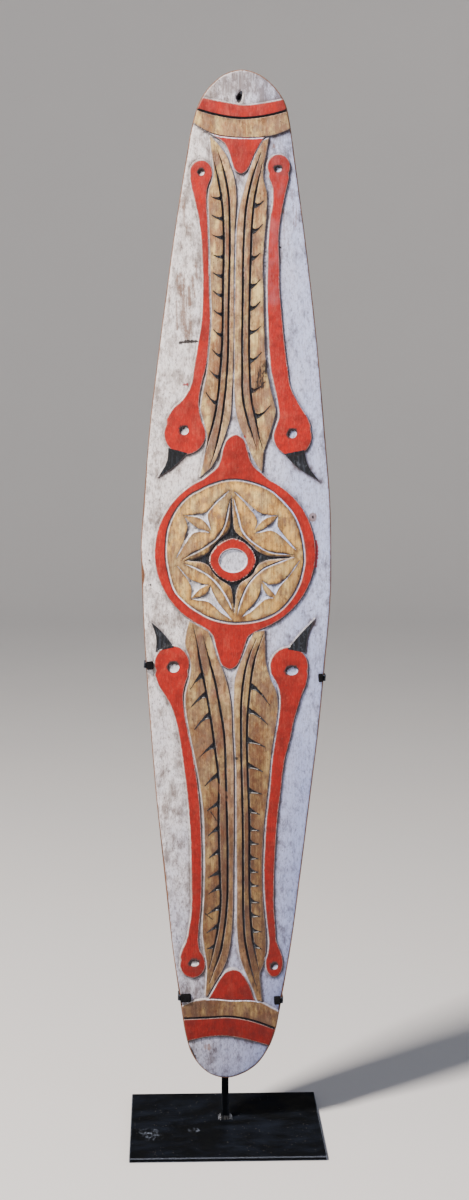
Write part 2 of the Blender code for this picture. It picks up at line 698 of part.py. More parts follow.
def grip_shape(cutters):
    """The grip that stands on the flat back, with its finger gap, in the board's own directions."""
    half = GRIP_LENGTH / 2
    inner = half - GRIP_FOOT_LENGTH
    back = -BOARD_THICKNESS
    sunk = back + ROOT_DEPTH
    top = back - GRIP_STAND_OFF
    under = top + GRIP_BAR
    slope = GRIP_FOOT_SLOPE
    side = (
        (-half, sunk), (-half, back), (-half + slope, top), (half - slope, top), (half, back),
        (half, sunk), (inner, sunk), (inner, back), (inner - slope / 2, under),
        (-inner + slope / 2, under), (-inner, back), (-inner, sunk),
    )
    centre = GRIP_CENTRE * GRID
    mesh = bpy.data.meshes.new("grip")
    shape = bmesh.new()
    ring = [shape.verts.new((-GRIP_WIDTH / 2, centre + up, level)) for up, level in side]
    face = shape.faces.new(ring)
    moved = bmesh.ops.extrude_face_region(shape, geom=[face])["geom"]
    corners = [item for item in moved if isinstance(item, bmesh.types.BMVert)]
    bmesh.ops.translate(shape, vec=(GRIP_WIDTH, 0, 0), verts=corners)
    bmesh.ops.recalc_face_normals(shape, faces=shape.faces)
    shape.to_mesh(mesh)
    shape.free()

    def on_bar(edge):
        past_back = all(vert.co.z < back - LEVEL_MARGIN for vert in edge.verts)
        return past_back and edge.calc_face_angle(0) > SHARP_ANGLE

    chamfer(mesh, GRIP_CHAMFER, on_bar)
    return as_cutter(bpy.data.objects.new("grip", mesh), cutters)


def board_blank(collection, cutters):
    """The plank up to the figures' height, cut to its outline, with a chamfer round its back."""
    blank = flat_shape("blank", [board_outline()], -BOARD_THICKNESS, FIGURE_HEIGHT, cutters)
    mesh = blank.data
    bpy.data.objects.remove(blank)
    back = -BOARD_THICKNESS + LEVEL_MARGIN

    def round_the_back(edge):
        return all(vert.co.z < back for vert in edge.verts) and edge.calc_face_angle(0) > SHARP_ANGLE

    chamfer(mesh, BACK_CHAMFER, round_the_back)
    board = bpy.data.objects.new("shield_board", mesh)
    collection.objects.link(board)
    return board


def ground(cutters):
    """What is taken off the plank's face, which leaves the two bands standing."""
    side = 2 * max(row[2] for row in BOARD_ROWS)
    lines = [curve_through(line) for line in (LOW_BAND_UPPER, TOP_BAND_LOWER)]
    between_bands = [
        *lines[0], Vector((side, lines[0][-1].y)), Vector((side, lines[1][-1].y)),
        *reversed(lines[1]), Vector((-side, lines[1][0].y)), Vector((-side, lines[0][0].y)),
    ]
    below = [*reversed(curve_through(LOW_BAND_LOWER)), Vector((-side, -side)), Vector((side, -side))]
    high = GRID_LENGTH + side
    above = [*curve_through(TOP_BAND_UPPER), Vector((side, high)), Vector((-side, high))]
    return flat_shape("ground", [between_bands, below, above], 0, 2 * FIGURE_HEIGHT, cutters)


def cut_from_top(name, outlines, depth, cutters):
    """A cutter that goes this deep below the figures' tops."""
    return flat_shape(name, outlines, FIGURE_HEIGHT - depth, 2 * FIGURE_HEIGHT, cutters)


def carved_feathers(cutters):
    """The feathers, with two grooves along each one's shaft and the notches in its vane."""
    outlines = [feather_outline(feather) for feather in FEATHERS.values()]
    feathers = flat_shape("feathers", outlines, -ROOT_DEPTH, FIGURE_HEIGHT, cutters)
    grooves = []
    notches = []
    for feather in FEATHERS.values():
        for line in (feather["outer_groove"], feather["inner_groove"]):
            grooves.append(strip_outline(curve_through(line), FEATHER_GROOVE_WIDTH))
        notches += [notch_outline(feather, root_up, rise) for root_up, rise in feather["notches"]]
    combine(feathers, cut_from_top("feather_grooves", grooves, GROOVE_DEPTH, cutters), "DIFFERENCE")
    combine(feathers, cut_from_top("notches", notches, NOTCH_DEPTH, cutters), "DIFFERENCE")
    bake(feathers)
    return feathers


def carved_birds(cutters):
    """The birds' heads and necks, with their eyes."""
    birds = flat_shape(
        "birds", [bird_outline(bird) for bird in BIRDS.values()], -ROOT_DEPTH, FIGURE_HEIGHT, cutters
    )
    eyes = [ellipse(eye, ARC_STEPS) for bird in BIRDS.values() for eye in bird["eyes"]]
    combine(birds, cut_from_top("eyes", eyes, EYE_DEPTH, cutters), "DIFFERENCE")
    bake(birds)
    return birds


def band_cuts(cutters):
    """The groove along each band, and the slit through the upper band."""
    lines = [curve_through(line) for line in (TOP_BAND_GROOVE, LOW_BAND_GROOVE)]
    grooves = [strip_outline(line, BAND_GROOVE_WIDTH) for line in lines]
    slit = curve_through(SLIT, closed=True)
    return [
        cut_from_top("band_grooves", grooves, GROOVE_DEPTH, cutters),
        cut_from_top("slit", [slit], FIGURE_HEIGHT + SLIT_DEPTH, cutters),
    ]


def rosette_cuts(cutters):
    """What is cut into the ring and the disc inside it."""
    margins = star_sides(MARGIN_TIPS, MARGIN_PULLS)
    margin_lines = [strip_outline(side[1:-1], MARGIN_LINE_WIDTH, MARGIN_TAPER) for side in margins]
    star = [outside_ring(point) for side in star_sides(STAR_TIPS, STAR_PULLS) for point in side[:-1]]
    ring = ellipse(STAR_RING, 2 * ARC_STEPS)
    rim = ellipse(RING_INNER, 4 * ARC_STEPS)
    disc = ellipse(DISC_EDGE, 4 * ARC_STEPS)
    hollows = [hollow_outline(*hollow) for hollow in HOLLOWS]
    return [
        cut_from_top("margin_lines", margin_lines, FINE_LINE_DEPTH, cutters),
        cut_from_top("rim_groove", [rim, disc], GROOVE_DEPTH, cutters),
        cut_from_top("star", [star, ring], STAR_DEPTH, cutters),
        cut_from_top("star_eye", [ellipse(STAR_EYE, 2 * ARC_STEPS)], EYE_DEPTH, cutters),
        cut_from_top("hollows", hollows, HOLLOW_DEPTH, cutters),
    ]


def crown(mesh):
    """Let the front fall away towards the board's edges and ends, while the back stays flat."""
    shape = bmesh.new()
    shape.from_mesh(mesh)
    bmesh.ops.triangulate(shape, faces=shape.faces)
    for vert in shape.verts:
        if vert.co.z > -BOARD_THICKNESS / 2:
            vert.co.z -= front_drop(vert.co.x, vert.co.y)
    shape.to_mesh(mesh)
    shape.free()


def carve_board(collection, cutters):
    """The board in one piece: plank, relief, cuts and grip, stood up in its place with its lean."""
    board = board_blank(collection, cutters)
    combine(board, grip_shape(cutters), "UNION")
    for tool in (ground(cutters), *band_cuts(cutters)):
        combine(board, tool, "DIFFERENCE")
    beaks = [beak_outline(bird) for bird in BIRDS.values()]
    tongues = [tongue_line(TOP_TONGUE), tongue_line(LOW_TONGUE)]
    combine(board, carved_birds(cutters), "UNION")
    combine(board, flat_shape("beaks", beaks, -ROOT_DEPTH, BEAK_HEIGHT, cutters), "UNION")
    combine(board, carved_feathers(cutters), "UNION")
    combine(board, flat_shape("ring", [ring_outline()], -ROOT_DEPTH, FIGURE_HEIGHT, cutters), "UNION")
    for tool in rosette_cuts(cutters):
        combine(board, tool, "DIFFERENCE")
    combine(board, flat_shape("tongues", tongues, -ROOT_DEPTH, TONGUE_HEIGHT, cutters), "UNION")
    bake(board)
    crown(board.data)
    board.rotation_euler = (math.pi / 2, BOARD_LEAN, 0)
    board.location = (BOARD_FOOT_X, BOARD_FRONT_Y, PLATE_THICKNESS + BOARD_FOOT_CLEARANCE)
    board.data.materials.append(painted("painted_wood", PAINTED_WOOD))
    return board


def on_board(across, up):
    """World X and Z of a place on the board, given in metres on its grid."""
    cosine, sine = math.cos(BOARD_LEAN), math.sin(BOARD_LEAN)
    foot = PLATE_THICKNESS + BOARD_FOOT_CLEARANCE
    return BOARD_FOOT_X + across * cosine + up * sine, foot - across * sine + up * cosine


def hook_place(hook, side):
    """World X and Z of the board's edge at a hook."""
    up = hook[0]
    return on_board(board_edge(up, side) * GRID, up * GRID)


def arm_frame(arm):
    """Where an arm's middle is, its tilt, and how far its left and right edges are from the middle."""
    left_x, left_z = hook_place(arm["left"], "left")
    right_x, right_z = hook_place(arm["right"], "right")
    tilt = math.atan2(left_z - right_z, right_x - left_x)
    middle_z = left_z - (right_z - left_z) * left_x / (right_x - left_x)
    return middle_z, tilt, left_x / math.cos(tilt), right_x / math.cos(tilt)


def hook_levels(hook, side):
    """How far in front of the world's middle plane a hook's strip runs, from its sleeve outwards."""
    up, reach = hook
    inner = abs(board_edge(up, side)) * GRID - reach
    board_face = BOARD_FRONT_Y + front_drop(inner, up * GRID)
    sleeve_back = board_face - GAP
    strip_back = sleeve_back - SLEEVE_WALL - GAP
    return sleeve_back, strip_back - STRIP_THICKNESS / 2


def rounded_path(corners, radius, steps=STRIP_BEND_STEPS):
    """A path through corners, each one rounded off by an arc-like bend."""
    path = [Vector(corners[0])]
    for before, here, after in zip(corners, corners[1:], corners[2:]):
        before, here, after = Vector(before), Vector(here), Vector(after)
        start = here + (before - here).normalized() * radius
        end = here + (after - here).normalized() * radius
        path += bow(start, here, end, steps) + [end]
    path.append(Vector(corners[-1]))
    return path


def strip_along(name, path, collection):
    """An upright flat strip that follows a path seen from above."""
    shape = bmesh.new()
    low = [shape.verts.new((point.x, point.y, -STRIP_HEIGHT / 2)) for point in path]
    edges = [shape.edges.new(pair) for pair in zip(low, low[1:])]
    grown = bmesh.ops.extrude_edge_only(shape, edges=edges)["geom"]
    high = [item for item in grown if isinstance(item, bmesh.types.BMVert)]
    bmesh.ops.translate(shape, vec=(0, 0, STRIP_HEIGHT), verts=high)
    mesh = bpy.data.meshes.new(name)
    shape.to_mesh(mesh)
    shape.free()
    strip = bpy.data.objects.new(name, mesh)
    collection.objects.link(strip)
    wall = strip.modifiers.new("wall", "SOLIDIFY")
    wall.thickness = STRIP_THICKNESS
    wall.offset = 0
    wall.use_even_offset = True
    bake(strip)
    weld(strip.data)
    return strip


def make_arm(name, arm, steel, collection):
    """A flat arm behind the board with both ends bent round the board's edges into hooks."""
    middle_z, tilt, left_edge, right_edge = arm_frame(arm)
    outside = HOOK_CLEARANCE + STRIP_THICKNESS / 2
    back = BOARD_FRONT_Y + BOARD_THICKNESS + GAP + STRIP_THICKNESS / 2
    left_front = hook_levels(arm["left"], "left")[1]
    right_front = hook_levels(arm["right"], "right")[1]
    left_tip = left_edge + arm["left"][1] - SLEEVE_WALL - GAP
    right_tip = right_edge - arm["right"][1] + SLEEVE_WALL + GAP
    corners = (
        (left_tip, left_front), (left_edge - outside, left_front), (left_edge - outside, back),
        (right_edge + outside, back), (right_edge + outside, right_front), (right_tip, right_front),
    )
    strip = strip_along(name, rounded_path(corners, STRIP_BEND_RADIUS), collection)
    strip.rotation_euler = (0, tilt, 0)
    strip.location = (0, 0, middle_z)
    strip.data.materials.append(steel)
    return strip


def make_sleeve(name, arm, side, rubber, collection, cutters):
    """A rubber sleeve with a closed end, pushed over one hook's tip."""
    middle_z, tilt, left_edge, right_edge = arm_frame(arm)
    hook = arm[side]
    edge = left_edge if side == "left" else right_edge
    inwards = 1 if side == "left" else -1
    back, strip_middle = hook_levels(hook, side)
    front = strip_middle - STRIP_THICKNESS / 2 - GAP - SLEEVE_WALL
    half_height = STRIP_HEIGHT / 2 + GAP + SLEEVE_WALL
    open_end = edge + inwards * SLEEVE_START
    closed_end = edge + inwards * hook[1]
    low_x, high_x = sorted((open_end, closed_end))
    mesh = box_mesh(name, (low_x, front, -half_height), (high_x, back, half_height))

    def away_from_open_end(edge_line):
        return any(abs(vert.co.x - open_end) > GAP for vert in edge_line.verts)

    round_edges(mesh, SLEEVE_ROUNDING, away_from_open_end)
    sleeve = bpy.data.objects.new(name, mesh)
    collection.objects.link(sleeve)
    pocket_end = closed_end - inwards * SLEEVE_WALL
    pocket_x = sorted((open_end - inwards * SLEEVE_WALL, pocket_end))
    pocket_half = STRIP_THICKNESS / 2 + GAP
    pocket_mesh = box_mesh(
        name + "_pocket",
        (pocket_x[0], strip_middle - pocket_half, -STRIP_HEIGHT / 2 - GAP),
        (pocket_x[1], strip_middle + pocket_half, STRIP_HEIGHT / 2 + GAP),
    )
    pocket = as_cutter(bpy.data.objects.new(name + "_pocket", pocket_mesh), cutters)
    combine(sleeve, pocket, "DIFFERENCE")
    bake(sleeve)
    sleeve.rotation_euler = (0, tilt, 0)
    sleeve.location = (0, 0, middle_z)
    sleeve.data.materials.append(rubber)
    return sleeve


def round_edges(mesh, radius, chosen):
    """Round the edges that the test picks."""
    shape = bmesh.new()
    shape.from_mesh(mesh)
    edges = [edge for edge in shape.edges if chosen(edge)]
    bmesh.ops.bevel(shape, geom=edges, offset=radius, segments=2, profile=0.5, affect="EDGES")
    shape.to_mesh(mesh)
    shape.free()


def make_plate(steel, collection):
    """The flat foot plate."""
    half_width, half_depth = PLATE_WIDTH / 2, PLATE_DEPTH / 2
    low = (-half_width, -half_depth, 0)
    high = (half_width, half_depth, PLATE_THICKNESS)
    mesh = box_mesh("stand_base_plate", low, high)
    chamfer(mesh, EDGE_CHAMFER, lambda edge: True)
    plate = bpy.data.objects.new("stand_base_plate", mesh)
    collection.objects.link(plate)
    plate.data.materials.append(steel)
    return plate


def post_front():
    """How far back the post's front face is: behind the board and the arms."""
    return BOARD_FRONT_Y + BOARD_THICKNESS + GAP + STRIP_THICKNESS + GAP


def make_post(steel, collection):
    """The square post, from the plate up to just above the upper arm."""
    front = post_front()
    top = arm_frame(ARMS["upper"])[0] + STRIP_HEIGHT / 2 + POST_TOP_MARGIN
    low = (-POST_SIZE / 2, front, PLATE_THICKNESS + GAP)
    high = (POST_SIZE / 2, front + POST_SIZE, top)
    mesh = box_mesh("stand_post", low, high)
    chamfer(mesh, EDGE_CHAMFER, lambda edge: True)
    post = bpy.data.objects.new("stand_post", mesh)
    collection.objects.link(post)
    post.data.materials.append(steel)
    return post


def make_weld(steel, collection, cutters):
    """The bead round the post's foot, as a low four-sided cone with the post's hole through it."""
    shape = bmesh.new()
    corner = math.sqrt(2)
    foot = POST_SIZE / 2 + GAP + WELD_LEG
    head = POST_SIZE / 2 + GAP + WELD_CREST
    bmesh.ops.create_cone(
        shape, cap_ends=True, segments=4, radius1=foot * corner, radius2=head * corner, depth=WELD_LEG
    )
    middle = (0, post_front() + POST_SIZE / 2, PLATE_THICKNESS + GAP + WELD_LEG / 2)
    turn = Matrix.Rotation(math.pi / 4, 4, "Z")
    bmesh.ops.transform(shape, matrix=Matrix.Translation(middle) @ turn, verts=shape.verts)
    mesh = bpy.data.meshes.new("weld_bead")
    shape.to_mesh(mesh)
    shape.free()
    bead = bpy.data.objects.new("weld_bead", mesh)
    collection.objects.link(bead)
    half = POST_SIZE / 2 + GAP
    low = (-half, middle[1] - half, PLATE_THICKNESS)
    high = (half, middle[1] + half, PLATE_THICKNESS + 2 * WELD_LEG)
    hole = as_cutter(bpy.data.objects.new("weld_hole", box_mesh("weld_hole", low, high)), cutters)
    combine(bead, hole, "DIFFERENCE")
    bake(bead)
    bead.data.materials.append(steel)
    return bead


def main():
    """Build the shield and its stand."""
    remove_all_objects()
    collection = new_collection(PARTS_NAME)
    cutters = new_collection(CUTTERS_NAME)
    carve_board(collection, cutters)
    make_plate(painted("painted_steel_plate", BLACK_PLATE), collection)
    make_post(painted("painted_steel_post", BLACK_STEEL), collection)
    make_weld(painted("weld_steel", WELD_STEEL), collection, cutters)
    for level, arm in ARMS.items():
        steel = painted(f"painted_steel_{level}_arm", BLACK_STEEL)
        make_arm(f"stand_{level}_arm", arm, steel, collection)
        for side in ("left", "right"):
            rubber = painted(f"rubber_{level}_{side}", BLACK_RUBBER)
            make_sleeve(f"sleeve_{level}_{side}", arm, side, rubber, collection, cutters)


main()
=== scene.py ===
"""Dressed model of a carved and painted wooden ceremonial shield on its black steel stand.

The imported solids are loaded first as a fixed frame. The board's solid is then replaced by a finely carved
mesh of the same form, whose paints follow the carving, the four rubber sleeves and the weld get shaped
pieces, and the steel plate, post and arms keep their solids under painted finishes. A floor, lights and a
camera follow. The carving is drawn on a grid that lies on the board's face: across runs to the right, up
runs from the board's lowest point, and one step is one millimetre.
"""
import math
from types import SimpleNamespace

import bmesh
import bpy
import numpy as np
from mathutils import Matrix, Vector, geometry, kdtree


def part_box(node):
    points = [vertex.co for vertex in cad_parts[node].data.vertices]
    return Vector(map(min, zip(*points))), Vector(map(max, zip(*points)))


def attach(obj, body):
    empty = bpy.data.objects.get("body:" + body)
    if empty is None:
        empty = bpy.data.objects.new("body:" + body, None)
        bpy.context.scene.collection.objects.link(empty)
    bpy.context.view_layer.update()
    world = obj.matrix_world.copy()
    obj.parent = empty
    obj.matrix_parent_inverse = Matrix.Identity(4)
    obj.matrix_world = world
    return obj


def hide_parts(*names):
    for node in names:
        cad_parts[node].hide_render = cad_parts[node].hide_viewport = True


bl_info = {
    "name": "Ceremonial shield",
    "version": (1, 0, 0),
    "blender": (4, 5, 0),
    "location": "3D View > Sidebar > Shield",
    "description": "Carves, paints and stages a wooden ceremonial shield on its stand",
    "category": "Object",
}

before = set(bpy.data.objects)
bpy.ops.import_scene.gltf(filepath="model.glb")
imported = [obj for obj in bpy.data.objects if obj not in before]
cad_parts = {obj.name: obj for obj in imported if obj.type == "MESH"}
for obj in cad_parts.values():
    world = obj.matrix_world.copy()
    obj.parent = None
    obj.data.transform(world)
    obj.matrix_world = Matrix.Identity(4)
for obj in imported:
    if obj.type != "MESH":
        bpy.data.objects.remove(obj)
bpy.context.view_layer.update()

MM = 0.001

# Where the board stands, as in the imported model
BOARD_FOOT = Vector((4.9 * MM, -2 * MM, 72.5 * MM))
BOARD_LEAN = math.radians(0.62)
BOARD_LENGTH = 1400
BOARD_THICKNESS = 20
BACK_CHAMFER = 5
SIDE_DROP = 4.0
END_DROP = 4.0

# Relief in mm: figures above the ground, and cuts below the figures' tops
FIGURE_HEIGHT = 2.6
TONGUE_HEIGHT = 2.4
BEAK_HEIGHT = 1.6
GROOVE_DEPTH = 2.2
NOTCH_DEPTH = 1.9
FINE_LINE_DEPTH = 1.7
HOLLOW_DEPTH = 2.6
STAR_DEPTH = 3.6
BEVEL_DEPTH = 1.5
EYE_DEPTH = 3.2
SLIT_DEPTH = 9.0

# The grip on the back, and the four sleeves and the weld
GRIP_CENTRE = 762
GRIP_BAR = 13 * MM
GRIP_SLOPE = 16 * MM
GRIP_FOOT_LENGTH = 26 * MM
GRIP_ROOT = 1 * MM
GRIP_ROUNDING = 4 * MM
SHARP_ANGLE = 0.3
ROUNDING_SEGMENTS = 4
SLEEVE_WALL = 1.5 * MM
WELD_CLEARANCE = 0.35 * MM
WELD_SEGMENTS = 96
WELD_SIDES = 14
WELD_RIPPLES = 13
WELD_DRIFT = 5
WELD_LEANING = 0.75
WELD_LEAST_REACH = 0.12
WELD_SQUARENESS = 1.36
WELD_FILL = 0.98
LEAST_LENGTH = 0.01 * MM

# Finishes of the steel: solid, slot, name, roughness, and strength of the rubbed edges with their painted
# highlight
STEEL_FINISHES = (
    ("stand_base_plate", "plate_steel", "satin_black_paint_on_plate", 0.62, 0.8),
    ("stand_post", "post_steel", "satin_black_paint_on_bar", 0.5, 0.1),
    ("stand_upper_arm", "upper_arm_steel", "satin_black_paint_on_upper_strip", 0.40, 0.5),
    ("stand_lower_arm", "lower_arm_steel", "satin_black_paint_on_lower_strip", 0.40, 0.5),
)

# The stage: lights by name, place, size and tint, then the floor and the camera
LIGHT_TARGET = (0, 0, 0.8)
KEY_LIGHT = ("key_light", (-2.2, -1.9, 4.1), (0.6, 0.6), "#fff3e8")
FILL_LIGHT = ("fill_light", (2.4, -1.9, 1.1), (1.4, 1.8), "#c4d4ff")
ROOM_TINT = "#e9edf5"
FLOOR_SEGMENTS = 96
SWEEP_SEGMENTS = 16
SENSOR_WIDTH = 36
CAMERA_PLACE = (-0.081, -2.7654, 1.0614)
CAMERA_TURN = (math.radians(90 - 6.31), 0, math.radians(-1.94))

# Steps of the smooth lines, the lowest level that still belongs to the face, and the lower band's top
LINE_STEPS = 3
RIM_STEPS = 4
BOARD_STEPS = 5
GROOVE_STEPS = 5
FINE_STEPS = 6
ARC_STEPS = 24
EYE_STEPS = 40
STAR_EYE_STEPS = 80
STAR_RING_STEPS = 90
FRONT_LEVEL = -14.5
LOW_BAND_TOP = 118

# The board's sides: up, left edge, right edge
BOARD_ROWS = (
    (5, -25.4, 17), (20, -43.4, 39.7), (36, -53.6, 51.5), (66, -62.6, 64), (113, -69.7, 72.3),
    (182, -80.8, 84), (282, -91.5, 96), (400, -105.5, 108.8), (513, -115.4, 120.8),
    (600, -122, 127.5), (682, -126.5, 133.5), (700, -127, 134), (713, -125, 134.2),
    (736, -128.5, 133.8), (820, -125, 131), (913, -119, 122), (1020, -107, 111.5),
    (1113, -95.5, 100), (1200, -84, 88), (1282, -71, 75.6), (1328, -63, 68.5), (1359, -53, 60.5),
    (1381, -37, 44), (1395, -18, 24),
)
BOARD_LOW_TIP = (-1, 0)
BOARD_HIGH_TIP = (3, 1400)

# The bands across both ends: lines from left to right, past both edges
TOP_BAND_UPPER = ((-64, 1365), (-20, 1356.5), (5, 1353), (40, 1357.5), (68, 1363.5))
TOP_BAND_GROOVE = ((-70, 1350.5), (-40, 1341.5), (5, 1335.5), (40, 1340), (75, 1350))
TOP_BAND_LOWER = ((-72, 1336), (-45, 1318), (10, 1310), (45, 1313.5), (76, 1325.5))
LOW_BAND_UPPER = ((-80, 98), (-52, 112.7), (-28, 116), (0, 114.2), (45, 110.8), (60, 102.7), (82, 90))
LOW_BAND_GROOVE = ((-76, 87), (-25, 89.6), (-6, 90.8), (23, 87.3), (52, 78), (76, 67.5))
LOW_BAND_LOWER = ((-72, 51), (-32, 61), (-9, 62.7), (21.5, 58), (37, 54), (70, 43.5))

# The red tongues between the feathers: base rows first, each up, left and right, and then the tip
TOP_TONGUE = {
    "rows": (
        (1323, -52, 50), (1313, -37, 36), (1302, -20, 28.5), (1285, -12, 19.3), (1272, -8, 14),
        (1265, -4, 9.5),
    ),
    "tip": (3, 1262),
}
LOW_TONGUE = {
    "rows": (
        (106, -42, 44), (117, -30.5, 34.5), (130, -23, 30), (141, -17.2, 25), (150.5, -11, 19.2),
        (156.5, -4.6, 13.5),
    ),
    "tip": (4.6, 159.3),
}
RING_UPPER_TONGUE = {
    "rows": ((858, -34, 36.5), (866, -25.4, 26.5), (876, -20.8, 20), (890, -18, 16), (905, -11.5, 10.2)),
    "tip": (0, 911),
}
RING_LOWER_TONGUE = {
    "rows": (
        (640, -34.5, 31), (633, -29.4, 20.2), (620, -25.4, 15.4), (606, -21.5, 10.8), (592, -15.5, 4.6),
    ),
    "tip": (-4, 586.8),
}
RING_TONGUE_HALF_WIDTH = 46

# The rosette in the middle: ellipses are centre across, centre up, radius across, radius up
RING_OUTER = (0.5, 748, 111, 111)
RIM_LINE = (
    (0, 849), (-10, 848.5), (-20, 846.7), (-30, 843.2), (-40, 839.3), (-50, 833.8), (-60, 828.5),
    (-70, 820.2), (-80, 808), (-87, 795), (-91.5, 783), (-94, 768), (-94.8, 752), (-94.2, 738),
    (-92, 726), (-89.8, 716), (-85.5, 702), (-80, 691.5), (-70, 681), (-60, 672.6), (-50, 666.4),
    (-40, 660.6), (-30, 656.6), (-20, 654), (-10, 652.2), (0, 651.3), (10, 651.6), (25, 653.2),
    (41, 657.2), (53, 662.4), (64.3, 670), (74, 680), (81.3, 690), (87, 700.5), (90.9, 710),
    (93.6, 721), (96, 735), (96, 746), (94.3, 760), (91.5, 775), (86.5, 790), (80, 803), (70, 815),
    (60, 825), (50, 833.4), (40, 839), (30, 843), (20, 845.9), (10, 848),
)
STAR_RING = (-3, 738.6, 32, 30)
STAR_RING_POWER = 1.7
STAR_EYE = (-2.2, 738, 19.4, 16.5)
STAR_EDGE = (
    (-5.2, 827), (-6, 812), (-6.2, 800), (-6.3, 790), (-7.4, 782.5), (-10.8, 776), (-16, 771.3),
    (-22.5, 766), (-28, 760), (-31.8, 754.5), (-35.5, 749.3), (-42, 745), (-50, 741.3), (-58, 738.8),
    (-68, 737), (-57, 736.3), (-47, 735.5), (-40, 733.3), (-35, 729.6), (-31.5, 724), (-27, 717.5),
    (-20, 711.3), (-12, 706.3), (-6, 702.6), (-3.8, 698), (-2.4, 690), (-1.2, 680), (0.2, 666),
    (1.4, 680), (2, 690), (3.5, 698), (6, 704), (9.2, 707.8), (15, 711.2), (22, 716), (26.5, 721),
    (29.4, 727), (32, 731.8), (36, 735.2), (42, 738), (48, 739.4), (58, 740.2), (68, 741), (82, 742.8),
    (70, 743.6), (60, 743.6), (50, 744), (42, 745.6), (35.5, 748.8), (30, 752.4), (25, 757),
    (20, 761.4), (15, 766), (10, 770), (5, 773.6), (1, 777), (-1.2, 781.5), (-2.4, 790), (-3.1, 800),
    (-3.8, 812),
)
MARGIN_LINES = (
    ((-7.3, 822), (-8.4, 815), (-10.6, 802), (-13.5, 789), (-16.8, 780.5), (-20.4, 774.2), (-26, 767.3),
     (-32.5, 762), (-41, 756), (-51, 750.2), (-61, 745), (-70.5, 739.8)),
    ((-3.2, 826), (-1.6, 820), (0.6, 811), (3.6, 801), (5.6, 792), (8.6, 781.5), (13.3, 774), (20, 767),
     (30, 759.6), (40, 753.3), (50, 749.4), (65, 747.6), (81, 746)),
    ((-71, 733.4), (-60, 729.6), (-50, 724.8), (-40, 719.4), (-32, 713.4), (-25, 706.8), (-18, 698),
     (-12, 688.5), (-7, 679), (-1.8, 666)),
    ((4.2, 662), (7, 675), (10.5, 686), (14.5, 696), (19, 704.6), (25, 712.6), (32, 720), (40, 726.6),
     (52, 732.4), (64, 737), (79, 742)),
)

# Chip-cut hollows, in pairs with a leaf between them: points all round each
HOLLOWS = (
    ((-9, 833.8), (-20, 825.6), (-28, 818), (-35, 809), (-40, 804.7), (-46, 802.2), (-55, 801),
     (-70, 799.4), (-60, 798.6), (-52, 797.4), (-45, 794.4), (-40, 790), (-36.5, 785.5), (-33, 779),
     (-35.6, 788), (-38, 795), (-37.8, 801), (-35.6, 806), (-31, 811.5), (-25, 818), (-17, 825.4)),
    ((-69, 797), (-62, 790.2), (-56, 785), (-50, 781.4), (-42, 779.2), (-34.5, 776), (-42, 777.2),
     (-50, 777.4), (-56, 776.4), (-60, 773.4), (-64, 767.6), (-70, 758), (-76, 748), (-80.6, 740.6),
     (-77.4, 748.5), (-73, 758), (-69, 768), (-66.6, 776.5), (-65, 784), (-66.4, 790)),
    ((-1.4, 832.6), (8, 825.4), (14, 819.6), (22, 812.6), (30, 806.4), (37, 802.8), (45, 801.2),
     (59, 800.6), (50, 799.2), (43, 797.2), (37, 793.2), (32.6, 788), (27, 781), (30, 788), (30.4, 793.4),
     (28.4, 799), (24, 805), (18, 812), (11, 820)),
    ((59, 800.4), (54, 793.6), (49, 788.6), (43, 784), (37, 780.8), (28, 776), (36, 777.4), (44, 779.8),
     (50, 780.2), (56, 777.8), (62, 773.4), (70, 766), (78, 758), (85, 752.8), (78, 761), (71, 769),
     (65, 776), (60, 782), (57.4, 788), (58, 794)),
    ((-79, 730), (-72, 722.2), (-66, 715.8), (-60, 711), (-53, 708), (-46, 706), (-35.4, 704.2),
     (-42, 701.6), (-48, 698.6), (-53, 693.8), (-59.6, 685.4), (-58.6, 692), (-59, 698), (-60.6, 704),
     (-64.6, 711), (-70.6, 719.5)),
    ((-33.3, 703), (-35.4, 696), (-40, 690.4), (-47, 687), (-59, 684.4), (-50, 682.6), (-41, 682.4),
     (-34, 680), (-27, 674), (-18, 666), (-3.4, 656), (-10, 664.6), (-16.6, 672), (-22.6, 680),
     (-27.4, 688), (-30.8, 695)),
    ((89.4, 738), (82, 728.4), (76, 719.4), (68, 711.4), (60, 706), (52, 705), (46, 705.6), (39, 709.4),
     (46, 701.6), (50, 698), (54, 693.6), (56.6, 690), (58.4, 695.6), (60.6, 700), (64.6, 705),
     (71.4, 712.4), (79.6, 722.4)),
    ((38, 706), (39.6, 698.4), (43, 692.6), (48, 688.8), (55, 686.4), (47, 686), (42, 684.4), (37, 680.4),
     (30, 673.4), (22, 666.4), (10, 659.4), (17.6, 668), (24.6, 675.6), (29.6, 681.6), (33.4, 688),
     (35.8, 696)),
)

